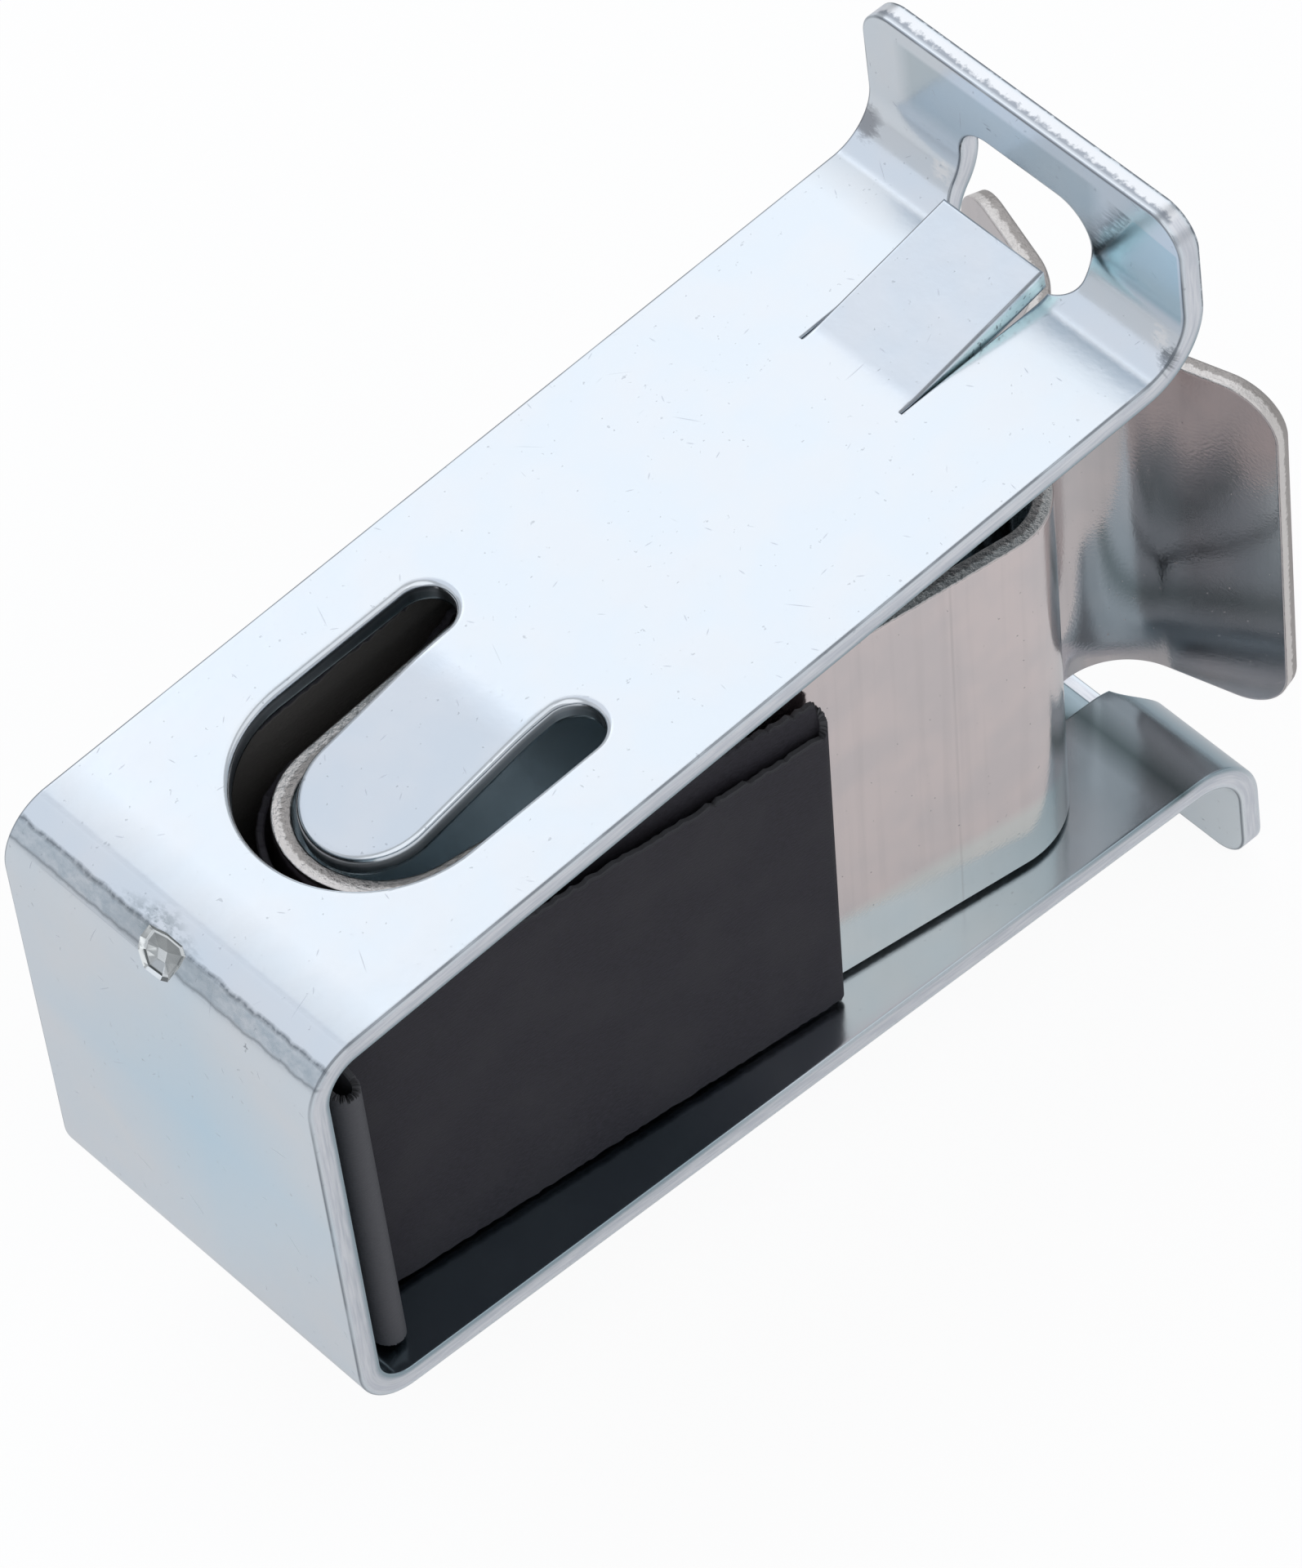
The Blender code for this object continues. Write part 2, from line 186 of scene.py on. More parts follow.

# Zinc: where its marks lie in the flat pattern. A pair says where a mark comes in or fades,
# four numbers add its strengths there, and ..._AT gives a middle and a reach
# middle and reach of the painted reflection on the web
WEB_REFLECTION_PLACE = (1.0, -1.5)
WEB_REFLECTION_REACH = 12.0
# where the painted shade inside the U lies, with its strengths
UNDER_SLEEVE = (-34.0, -28.0, 0.25, 0.8)
LOWER_MOUTH = (-54.0, -44.0, 0.8, 0.3)
LIP_FRONTS = (59.0, 61.0, 1.0, 0.12)
MOUTH_SHADE_AT = (-56.4, 1.3)
INNER_HALF = (-0.2, 0.0)
OUTER_HALF = (0.0, 0.05)
LOWER_LIP_BACK = (-61.5, -60.0)
SHADE_AFTER_BEND = ((11.82, 12.0), (12.0, 14.0))
SHADE_BEFORE_LIP = ((54.6, 56.4), (56.5, 56.75))
# where the painted reflection on the upper lip lies
LIP_REFLECTION_UP = ((61.2, 62.2), (65.0, 65.25))
LIP_REFLECTION_ACROSS = ((-5.0, -4.0), (6.6, 7.6))
UPPER_CREASE = 10.9
LOWER_CREASE = 10.15
CREASE_WIDTH = 0.1
UPPER_CREASE_WIDTH = 0.14
CREASE_WANDER = 0.22
LOWER_CREASE_STRENGTH = 0.7
CREASE_BREAKS = (0.35, 0.55, 0.55, 1.0)
FOLD_RUB = (0.3, 0.7, 0.1, 0.7)
SCUFF_PLACE = (UPPER_CREASE + 0.25, 0.9)
SCUFF_REACH = 0.9
SCUFF_STRETCH = 0.3
SCUFF_RUB = (0.4, 0.6)
SPECK_NOISE = (0.70, 0.74)
LIP_EDGE = (65.7, 65.8)
LIP_INNER_EDGE = (60.0, 61.0)
BARB_WALL_AT = (52.9, 4.2)
BARB_PATCHES = (0.58, 0.66)
BARB_CUT = 0.02
PANEL_START = 4.2
PANEL_SLANT = 0.6
PANEL_FOOT = 60.5
PANEL_UP = (60.0, 60.4)
PANEL_TOP = (64.6, 64.7)
PANEL_TOP_SLANT = -0.12
PANEL_MIDDLE = 7.0
PANEL_RIM = (0.2, 0.28)
PANEL_SIDE = (-0.08, 0.0)
HATCH_BREAKS = (0.35, 0.6, 0.3, 1.0)
HATCH_REACH = ((0.0, 0.1), (0.5, 1.6))
SPOT_WOBBLE = 1.6
SPOT_CORE = 0.4

# Zinc: sheared edges and the painted shade lines beside them, by distance from the edge, rounding
# and height
WALL_RIM = (0.0, 0.02)
WALL_DEPTH = (-0.3, -0.12)
SLOT_ROLLED = (0.2, 0.28)
LIP_TEAR = 0.8
LIP_PALE = (0.1, 0.2)
LIP_TORN = (0.0, 0.2)
LINE_AT = (0.05, 0.09)
LINE_ROLLED = (0.15, 0.25)
LINE_HEIGHT = (SHEET / 2 - 0.12, SHEET / 2 - 0.05)
LINE_BREAKS = (0.3, 0.5, 0.5, 1.0)
LIP_LINE_AT = (0.0, 0.1)
LIP_LINE_HEIGHT = (0.1 - SHEET / 2, 0.16 - SHEET / 2)
LIP_LINE_BREAKS = (0.35, 0.5, 0.3, 1.0)

# Zinc: shine and relief
ZINC_ROUGHNESS = (0.17, 0.22)
MARK_ROUGHNESS = 0.14
FINE_RELIEF = 0.003
CLOUD_RELIEF = 0.02

# Scratches: cell of the flat pattern, length and width of a line, and the share of cells with one
SHORT_SCRATCHES = (1.3, 0.22, 0.035, 0.16)
LONG_SCRATCHES = (3.5, 0.7, 0.03, 0.2)
SCRATCH_FADE = 0.6

# Smudges and dots on the zinc, and two painted highlights: place, reach, strength and shade
ZINC_SPOTS_AND_GLINTS = (((58.9, 9.2, 0.55), 1.1, 0.6, (0.22, 0.22, 0.24)),
              ((58.2, -9.4, 0.55), 0.7, 0.7, (0.12, 0.14, 0.16)),
              # painted highlights: white glints at the window's corner and the near corner on the
              # lip bend
              ((59.1, 4.7, 0.55), 0.6, 0.9, (1.0, 1.0, 1.0)),
              ((58.9, -8.5, 0.55), 0.55, 0.9, (1.0, 1.0, 1.0)),
              ((63.9, 2.0, 0.55), 0.22, 0.7, (0.12, 0.15, 0.18)),
              ((54.4, -2.75, 0.1), 0.2, 0.95, (0.02, 0.03, 0.03)),
              ((53.4, -2.75, -0.1), 0.18, 0.95, (0.02, 0.03, 0.03)),
              ((9.7, -5.5, 0.55), 0.15, 0.7, (0.2, 0.22, 0.25)))

# Spring
SPRING_SHEET = 0.9
SPRING_HEIGHT = 20.0
SPRING_CORNER = 2.6
CLOSED_END = 11.4
CLOSED_RADIUS = 4.75
LEG_ANGLE = math.radians(6.2)
LEG_LENGTH = 28.6
SHOULDER_RADIUS = 4.2
INWARD_ANGLE = math.radians(70)
THROAT_GAP = 1.0
THROAT_RADIUS = 3.6
FLARE_ANGLE = math.radians(73)
FLARE_OVERHANG = 0.1
MOUTH_LEAN = math.radians(1.6)

# Spring steel: its two tints, and each mark's shade and strength
STEEL = ((0.81, 0.715, 0.70), (0.75, 0.68, 0.675))
GRAIN = ((0.5, 0.46, 0.46), 0.12)
PITS = ((0.25, 0.23, 0.22), 0.5)
# painted dark reflection on the spring's shoulder
SHOULDER_PAINTED_REFLECTION = ((0.36, 0.38, 0.39), 0.3)
# painted shade on the spring's inner skin
SPRING_INSIDE_PAINTED_SHADE = (0.36, 0.42, 0.44)
# painted reflection: a pale bluish band along the spring's foot
FOOT_PAINTED_REFLECTION = ((0.80, 0.88, 0.84), 0.5)
LEG_LINE_SHADE = ((0.40, 0.36, 0.36), 0.4)
PALE_SHEAR = ((0.84, 0.80, 0.77), (0.46, 0.43, 0.41))
GREY_SHEAR = ((0.62, 0.60, 0.58), (0.30, 0.28, 0.27))

# Spring steel: where its marks lie along the strip, and how high the painted reflection at its foot
# reaches
SHOULDER = (35.5, 39.0)
INNER_HEIGHT = (0.3, 0.4)
INNER_FADE = (40.0, 46.0, 0.85, 0.2)
FOOT_TOP = (3.4, 4.2)
FOOT_END = (37.0, 39.0)
LEG_LINE_AT = (31.4, 0.1)
LEG_LINE_BREAKS = (0.35, 0.55, 0.3, 1.0)
SHEAR_RIM = (0.0, 0.05)
GREY_EDGE = ((10.0, 14.0), (40.0, 44.0))
TORN_HEIGHT = (0.2, 0.3)
STEEL_ROUGHNESS = (0.11, 0.17)
SHEAR_ROUGHNESS = 0.25
GRAIN_NOISE = (0.5, 0.75)
PIT_NOISE = (0.79, 0.83)
PIT_DEPTH = 0.015
RAG_RELIEF = 0.08

# Sleeve
SLEEVE_SHEET = 0.35
SLEEVE_HEIGHT = 16.7
SLEEVE_SLANT = 0.29
INNER_RISE = 1.4
SLEEVE_REACH = 28.8
SLEEVE_FOLD = 0.9
SLEEVE_DIVERGE = math.radians(4.4)
EAR_WIDTH = 1.5
EAR_INSET = 1.05
EAR_TO_WEB = 1.05
EAR_CORNER = 0.9
RAGGED_EDGE = 0.12
SLEEVE_SOFTNESS = 0.4
INNER_BELOW_SPRING = 1.0
INNER_CLIMB = 4.0
INNER_CLIMB_START = 0.6
OUTER_CLIMB = 20.0
TEAR_SEED = 3

# Sleeve: its two tints, its marks' shades and strengths, and where they lie along the band
BLACK = ((0.020, 0.018, 0.024), (0.037, 0.034, 0.044))
SLEEVE_CLOUD = ((0.042, 0.040, 0.046), 0.4)
# painted light on the sleeve's far inner face
FAR_INSIDE_PAINTED_LIGHT = (0.085, 0.08, 0.075)
# painted highlight down the sleeve's rounded ear
EAR_PAINTED_HIGHLIGHT = ((0.12, 0.12, 0.13), 0.85)
TORN_SHADE = ((0.08, 0.08, 0.085), 0.8)
FAR_INSIDE_ALONG = (-33.0, -31.0)
FAR_INSIDE_SKIN = (-0.16, -0.12)
EAR_AT = (53.3, 3.0)
TORN_ALONG = (20.0, 24.0)
TORN_RIM = (0.0, 0.12)
SLEEVE_ROUGHNESS = (0.62, 0.8)
SLEEVE_SPECULAR = 0.35
SLEEVE_NOISE = (0.4, 0.7)
FIBRE_RELIEF = 0.03

# Fits
SEAT_GAP = 0.3
SLEEVE_GAP = 0.3
ROOF_GAP = 0.6

# Rounding of cut edges on the outer skin and on the inner one
OUTLINE_ROUND = 0.1
SLOT_ROUND = 0.3
WINDOW_ROUND = 0.13
INNER_ROUND = 0.09

# Facets: rings of points near a cut edge, in roundings, a guard beside them, and steps
EDGE_RINGS = (0.0, 0.12, 0.35, 0.65, 1.0)
EDGE_GUARD = 0.1
RIM_REACH = 1.0
BEND_STEP = math.radians(3)
RAGGED_STEP = 0.26
TOUCH = 0.001


def arc_steps(angle):
    return max(2, math.ceil(abs(angle) / BEND_STEP))


class Track:
    """A plane line of straight runs and tangent arcs, read by the distance along it."""

    def __init__(self, x, y, heading):
        self.pieces = []
        self.length = 0.0
        self.end = (x, y, heading)

    def run(self, length):
        self.add(length, 0.0)

    def turn(self, angle, radius):
        self.add(abs(angle) * radius, math.copysign(1 / radius, angle))

    def add(self, length, curve):
        self.pieces.append((self.length, length, curve, self.end))
        self.length += length
        self.end = self.at(self.length)

    def at(self, distance):
        start, _, curve, (x, y, heading) = self.pieces[0]
        for piece in self.pieces:
            if distance >= piece[0] - TOUCH:
                start, _, curve, (x, y, heading) = piece
        step = distance - start
        if curve == 0:
            return (x + step * math.cos(heading), y + step * math.sin(heading), heading)
        turned = heading + step * curve
        return (x + (math.sin(turned) - math.sin(heading)) / curve,
                y - (math.cos(turned) - math.cos(heading)) / curve, turned)

    def stations(self):
        """Distances at each piece's start and at even steps along each arc."""
        marks = []
        for start, length, curve, _ in self.pieces:
            count = arc_steps(length * curve) if curve else 1
            marks += [start + length * step / count for step in range(count)]
        return marks


def arc(centre, radius, start, end):
    """Points on an arc in the flat pattern, both ends included."""
    count = arc_steps(end - start)
    angles = [start + (end - start) * step / count for step in range(count + 1)]
    return [(centre[0] + radius * math.cos(a), centre[1] + radius * math.sin(a)) for a in angles]


def rounded_rectangle(low, high, corner):
    """Outline from the lowest to the highest corner, all four corners rounded."""
    left, bottom = low[0] + corner, low[1] + corner
    right, top = high[0] - corner, high[1] - corner
    centres = ((right, top), (left, top), (left, bottom), (right, bottom))
    return [point for i, centre in enumerate(centres)
            for point in arc(centre, corner, i * QUARTER, (i + 1) * QUARTER)]


def without_repeats(loop):
    kept = []
    for point in loop:
        if not kept or math.dist(point, kept[-1]) > 2 * TOUCH:
            kept.append(point)
    while math.dist(kept[0], kept[-1]) <= 2 * TOUCH:
        kept.pop()
    return kept


def inside(loop, x, y):
    hit = False
    for (x0, y0), (x1, y1) in zip(loop, loop[1:] + loop[:1]):
        if (y0 > y) != (y1 > y) and x < x0 + (y - y0) * (x1 - x0) / (y1 - y0):
            hit = not hit
    return hit


def offset_loop(loop, distance):
    """Loop moved sideways to its left by a distance, with mitred corners."""
    moved = []
    for before, point, after in zip(loop[-1:] + loop[:-1], loop, loop[1:] + loop[:1]):
        arrive = (Vector(point) - Vector(before)).normalized()
        leave = (Vector(after) - Vector(point)).normalized()
        side = Vector((-arrive.y - leave.y, arrive.x + leave.x)) / (1 + arrive.dot(leave))
        moved.append((point[0] + side.x * distance, point[1] + side.y * distance))
    return moved


def turns_left(loop):
    area = sum(a[0] * b[1] - b[0] * a[1] for a, b in zip(loop, loop[1:] + loop[:1]))
    return area > 0


class Pattern:
    """A flat sheet cut into triangles, with rings of points along its edges and creases."""

    def __init__(self, outline, holes, creases):
        self.outline = without_repeats(outline)
        self.holes = [without_repeats(hole) for hole, _ in holes]
        self.roundings = [OUTLINE_ROUND] + [rounding for _, rounding in holes]
        points = []
        edges = []
        for loop, rounding in zip([self.outline] + self.holes, self.roundings):
            into_sheet = 1 if turns_left(loop) == (loop is self.outline) else -1
            rings = [ring * rounding for ring in EDGE_RINGS]
            for distance in rings + [rounding + EDGE_GUARD, RIM_REACH]:
                first = len(points)
                points += offset_loop(loop, into_sheet * distance)
                edges += [(first + i, first + (i + 1) % len(loop)) for i in range(len(loop))]
        for start, end in creases:
            edges.append((len(points), len(points) + 1))
            points += [start, end]
        result = delaunay_2d_cdt([Vector(p) for p in points], edges, [], 0, TOUCH)
        self.points = [(p.x, p.y) for p in result[0]]
        self.faces = [tuple(face) for face in result[2] if self.covers(result[0], face)]
        self.rim, self.round = self.edge_distances()

    def covers(self, flat, face):
        x = sum(flat[i].x for i in face) / len(face)
        y = sum(flat[i].y for i in face) / len(face)
        return inside(self.outline, x, y) and not any(inside(hole, x, y) for hole in self.holes)

    def edge_distances(self):
        """Each point's distance to the nearest cut edge, up to a reach, and its rounding."""
        points = np.array(self.points)
        nearest = np.full(len(points), RIM_REACH)
        rounds = np.full(len(points), OUTLINE_ROUND)
        for loop, rounding in zip([self.outline] + self.holes, self.roundings):
            for start, end in zip(loop, loop[1:] + loop[:1]):
                a = np.array(start)
                along = np.array(end) - a
                share_along = np.clip((points - a) @ along / (along @ along), 0, 1)
                gap = np.linalg.norm(points - a - share_along[:, None] * along, axis=1)
                rounds = np.where(gap < nearest, rounding, rounds)
                nearest = np.minimum(nearest, gap)
        return nearest, rounds


def edge_drop(distance, rounding):
    """How far a sheet's skin falls towards its middle at a distance from a cut edge."""
    left = max(0.0, rounding - distance)
    return rounding - math.sqrt(max(0.0, rounding ** 2 - left ** 2))


def fold_sheet(name, pattern, thickness, place, dart=None):
    """Closed mesh of a folded sheet: place takes a flat point and its height in the sheet."""
    mesh = bmesh.new()
    facet_light = mesh.faces.layers.float.new("facet_light")
    shape = mesh.verts.layers.float_vector.new("shape")
    rim = mesh.verts.layers.float.new("rim")
    rolled = mesh.verts.layers.float.new("rolled")

    def vertex(index, height):
        flat, across = pattern.points[index]
        made = mesh.verts.new(place(flat, across, height) * METRE)
        made[shape] = Vector((flat, across, height))
        made[rim] = pattern.rim[index]
        made[rolled] = pattern.round[index]
        return made

    half = thickness / 2
    used = sorted({i for face in pattern.faces for i in face})
    outer = {i: vertex(i, half - edge_drop(pattern.rim[i], pattern.round[i])) for i in used}
    inner = {i: vertex(i, edge_drop(pattern.rim[i], INNER_ROUND) - half) for i in used}
    walls = {}
    for face in pattern.faces:
        skin = mesh.faces.new([outer[i] for i in face])
        centre = [sum(pattern.points[i][k] for i in face) / len(face) for k in (0, 1)]
        # each dart facet carries its painted light, and those facets are shaded flat
        skin[facet_light] = dart.find(*centre)[1] if dart else 0.0
        skin.smooth = skin[facet_light] == 0
        mesh.faces.new([inner[i] for i in reversed(face)]).smooth = True
        for pair in zip(face, face[1:] + face[:1]):
            key = tuple(sorted(pair))
            walls[key] = None if key in walls else pair
    pairs = [pair for pair in walls.values() if pair]
    edge = sorted({i for pair in pairs for i in pair})
    high = {i: vertex(i, half - pattern.round[i] - EDGE_GUARD) for i in edge}
    low = {i: vertex(i, INNER_ROUND + EDGE_GUARD - half) for i in edge}
    levels = [outer, high, low, inner]
    for a, b in pairs:
        for upper, lower in zip(levels, levels[1:]):
            mesh.faces.new([upper[b], upper[a], lower[a], lower[b]]).smooth = True
    return finish_mesh(name, mesh)


def finish_mesh(name, mesh):
    bmesh.ops.recalc_face_normals(mesh, faces=mesh.faces)
    data = bpy.data.meshes.new(name)
    mesh.to_mesh(data)
    mesh.free()
    data.set_sharp_from_angle(angle=math.radians(40))
    return data


def add_object(name, data):
    made = bpy.data.objects.new(name, data)
    bpy.context.scene.collection.objects.link(made)
    return made


def add_piece(name, data, finish, node):
    data.materials.append(finish)
    piece = add_object(name, data)
    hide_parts(node)
    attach(piece, "root")


def eased(distance, root):
    """Distance past a fold that starts softly over the root's length."""
    if distance <= 0:
        return 0.0
    if distance < root:
        return distance * distance / (2 * root)
    return distance - root / 2


class Dart:
    """The crushed dart as flat triangles, each with its corners' depths and its grey of painted
    light and shade.
    """

    def __init__(self):
        count = len(DART_OUTLINE)
        centre = [sum(corner[k] for corner in DART_OUTLINE) / count for k in (0, 1)]
        rings = [[(centre[0] + size * (x - centre[0]), centre[1] + size * (y - centre[1]), depth)
                  for x, y in DART_OUTLINE] for size, depth in DART_RINGS]
        floor = [(x, y, DART_DEPTH) for x, y in DART_FLOOR]
        rings.append([min(floor, key=lambda low: math.dist(low[:2], corner[:2]))
                      for corner in rings[-1]])
        self.facets = [(floor[0], floor[i], floor[i + 1], DART_FLOOR_PAINTED_LIGHT) for i in (1, 2)]
        for ring, following, painted_lights in zip(rings, rings[1:], DART_PAINTED_LIGHTS):
            for i, painted_light in enumerate(painted_lights):
                j = (i + 1) % count
                self.facets.append((ring[i], ring[j], following[i], painted_light))
                if following[i] != following[j]:
                    self.facets.append((ring[j], following[j], following[i], painted_light))

    def find(self, flat, across):
        """Depth and the facet's painted light at a place, both nothing outside the dart."""
        for a, b, c, painted_light in self.facets:
            area = (b[0] - a[0]) * (c[1] - a[1]) - (c[0] - a[0]) * (b[1] - a[1])
            to_b = ((flat - a[0]) * (c[1] - a[1]) - (c[0] - a[0]) * (across - a[1])) / area
            to_c = ((b[0] - a[0]) * (across - a[1]) - (flat - a[0]) * (b[1] - a[1])) / area
            if to_b >= -TOUCH and to_c >= -TOUCH and to_b + to_c <= 1 + TOUCH:
                return a[2] + to_b * (b[2] - a[2]) + to_c * (c[2] - a[2]), painted_light
        return 0.0, 0.0

    def creases(self):
        lines = []
        for *corners, _ in self.facets:
            lines += [(a[:2], b[:2]) for a, b in zip(corners, corners[1:] + corners[:1])]
        return lines


class Flange:
    """One half of the bracket's strip, from the middle of the web to a lip's edge."""

    def __init__(self, reach, lip):
        fold = QUARTER - SPLAY
        web_setback = WEB_BEND * math.tan(fold / 2)
        lip_setback = LIP_BEND * math.tan(fold / 2)
        corner = (reach - SHEET * math.sin(SPLAY)) / math.cos(SPLAY)
        self.track = Track(SHEET / 2, 0, QUARTER)
        self.track.run(WEB_HEIGHT / 2 - web_setback)
        self.track.turn(-fold, WEB_BEND - SHEET / 2)
        self.flange_start = self.track.length - web_setback
        self.track.run(corner - lip_setback - web_setback)
        self.track.turn(fold, LIP_BEND - SHEET / 2)
        self.window_top = self.track.length + WINDOW_UP_LIP - lip_setback
        self.track.run(lip - lip_setback)
        self.barb_end = corner - BARB_TO_MOUTH
        self.barb_base = self.barb_end - BARB_LENGTH
        self.hinge = SLOT_CENTRE + SLOT_ARM

    def flat(self, along):
        """Place in the flat pattern of a point measured along the flange from the web's corner."""
        return self.flange_start + along

    def slot(self):
        """Horseshoe slot round the tongue."""
        tip = self.flat(TONGUE_TIP + TONGUE_HALF)
        middle = (SLOT_RADIUS + TONGUE_HALF) / 2
        half = (SLOT_RADIUS - TONGUE_HALF) / 2
        arm = self.flat(self.hinge)
        return (arc((self.flat(SLOT_CENTRE), 0), SLOT_RADIUS, QUARTER, 3 * QUARTER)
                + arc((arm, -middle), half, -QUARTER, QUARTER)
                + arc((tip, 0), TONGUE_HALF, 3 * QUARTER, QUARTER)
                + arc((arm, middle), half, -QUARTER, QUARTER))

    def window(self):
        """Rounded window with the two lancing cuts along the barb."""
        low = self.flat(self.barb_end)
        base = self.flat(self.barb_base)
        half = BARB_WIDTH / 2
        cut = half + KERF
        wide = WINDOW_WIDTH / 2
        corner = WINDOW_CORNER
        top = arc((self.window_top - corner, wide - corner), corner, QUARTER, 0)
        sides = []
        for side in (1, -1):
            meet = math.asin((cut + side * BARB_SHIFT - wide + corner) / corner)
            near = arc((low + corner, wide - corner), corner, math.pi - meet, QUARTER)
            edge = side * half + BARB_SHIFT
            slit = [(low, edge), (base, edge), (base, side * cut + BARB_SHIFT)]
            sides.append(slit + [(x, side * y) for x, y in near + top])
        return sides[0] + list(reversed(sides[1]))

    def in_tongue(self, along, across):
        if along > self.hinge + TOUCH or abs(across) > TONGUE_HALF + TOUCH:
            return False
        past_tip = min(0.0, along - TONGUE_TIP - TONGUE_HALF)
        return math.hypot(past_tip, across) <= TONGUE_HALF + TOUCH

    def in_barb(self, along, across):
        return (abs(across - BARB_SHIFT) <= BARB_WIDTH / 2 + TOUCH
                and self.barb_base - TOUCH <= along <= self.barb_end + TOUCH)

    def place(self, flat, across, height, dart=None):
        """Point of the folded half: x and z of a point at a height above the sheet's middle."""
        along = flat - self.flange_start
        if self.in_barb(along, across):
            slope = BARB_RISE / eased(BARB_LENGTH, BARB_ROOT)
            height += slope * eased(along - self.barb_base, BARB_ROOT)
            x, z, heading = self.track.at(self.flat(self.barb_base))
            x += (along - self.barb_base) * math.cos(heading)
            z += (along - self.barb_base) * math.sin(heading)
        else:
            x, z, heading = self.track.at(flat)
        if self.in_tongue(along, across):
            slope = TONGUE_PRESS / eased(self.hinge - TONGUE_TIP, TONGUE_ROOT)
            height -= slope * eased(self.hinge - along, TONGUE_ROOT)
        x -= height * math.sin(heading)
        z += height * math.cos(heading)
        if dart:
            depth = dart.find(flat, across)[0]
            bisector = self.track.at(DART_FLOOR[0][0])[2]
            x += depth * math.sin(bisector)
            z -= depth * math.cos(bisector)
        return x, z

    def creases(self):
        """Fold lines: bend stations right across, and the soft roots of the tongue and the barb."""
        lines = [((mark, -STRIP_WIDTH), (mark, STRIP_WIDTH))
                 for mark in self.track.stations() if mark > 0]
        barb = BARB_WIDTH / 2
        for step in range(5):
            root = self.flat(self.hinge - TONGUE_ROOT * step / 4)
            lines.append(((root, -TONGUE_HALF), (root, TONGUE_HALF)))
            root = self.flat(self.barb_base + BARB_ROOT * step / 4)
            lines.append(((root, BARB_SHIFT - barb), (root, BARB_SHIFT + barb)))
        return lines


def mirrored(lines):
    return [[(-x, y) for x, y in line] for line in lines]


def make_bracket(finish):
    upper = Flange(UPPER_REACH, UPPER_LIP)
    lower = Flange(LOWER_REACH, LOWER_LIP)
    half = STRIP_WIDTH / 2
    low, high = (-lower.track.length, -half), (upper.track.length, half)
    outline = rounded_rectangle(low, high, LIP_CORNER)
    slots = [upper.slot()] + mirrored([lower.slot()])
    windows = [upper.window()] + mirrored([lower.window()])
    holes = [(slot, SLOT_ROUND) for slot in slots] + [(window, WINDOW_ROUND) for window in windows]
    dart = Dart()
    creases = upper.creases() + dart.creases() + mirrored(lower.creases())

    def place(flat, across, height):
        if flat >= 0:
            x, z = upper.place(flat, across, height, dart)
            return Vector((x, across, z))
        x, z = lower.place(-flat, across, height)
        return Vector((x, across, -z))

    data = fold_sheet("bracket_skin", Pattern(outline, holes, creases), SHEET, place, dart)
    add_piece("bracket_skin", data, finish, "bracket")


def on_seat(x, y, up):
    """Point of the lower flange's inner face, which leans with the flange, in the row's frame."""
    low = -WEB_HEIGHT / 2 + SHEET * math.cos(SPLAY)
    return Vector((SHEET * math.sin(SPLAY) + x * math.cos(SPLAY) + up * math.sin(SPLAY), y,
                   low - x * math.sin(SPLAY) + up * math.cos(SPLAY)))


def share(value, start, end):
    """How far a value has come from start to end, between 0 and 1."""
    return min(1.0, max(0.0, (value - start) / (end - start)))


def roof(x):
    """Height of the upper flange's inner face over the seat."""
    gap = WEB_HEIGHT - 2 * SHEET * math.cos(SPLAY)
    return gap * math.cos(SPLAY) + (x + gap * math.sin(SPLAY)) * math.tan(2 * SPLAY)


def spring_track():
    """Half of the spring's middle line, and the distances to its shoulder and its throat."""
    half = SPRING_SHEET / 2
    track = Track(CLOSED_END - CLOSED_RADIUS + half, 0, -QUARTER)
    track.turn(QUARTER - LEG_ANGLE, CLOSED_RADIUS - half)
    track.run(LEG_LENGTH)
    shoulder = track.length
    track.turn(LEG_ANGLE + INWARD_ANGLE, SHOULDER_RADIUS - half)
    throat = THROAT_RADIUS + half
    waist = -THROAT_GAP / 2 - half - throat * (1 - math.cos(INWARD_ANGLE))
    track.run((waist - track.end[1]) / math.sin(INWARD_ANGLE))
    mouth = track.length
    track.turn(-INWARD_ANGLE - FLARE_ANGLE, throat)
    track.run((track.end[1] + STRIP_WIDTH / 2 + FLARE_OVERHANG) / math.sin(FLARE_ANGLE))
    return track, shoulder, mouth


def make_spring(finish):
    track, shoulder, mouth = spring_track()
    end = track.length
    middle = SEAT_GAP + SPRING_HEIGHT / 2
    outline = rounded_rectangle((-end, SEAT_GAP), (end, SEAT_GAP + SPRING_HEIGHT), SPRING_CORNER)
    marks = track.stations()
    marks = marks + [-mark for mark in marks[1:]]
    creases = [((mark, 0), (mark, SPRING_HEIGHT + 2 * SEAT_GAP)) for mark in marks]

    def place(flat, up, height):
        x, y, heading = track.at(abs(flat))
        x -= height * math.sin(heading)
        y += height * math.cos(heading)
        x -= share(abs(flat), shoulder, mouth) * math.tan(MOUTH_LEAN) * (up - middle)
        return on_seat(x, math.copysign(1, flat + TOUCH) * y, up)

    data = fold_sheet("spring_skin", Pattern(outline, [], creases), SPRING_SHEET, place)
    add_piece("spring_skin", data, finish, "spring_clip")


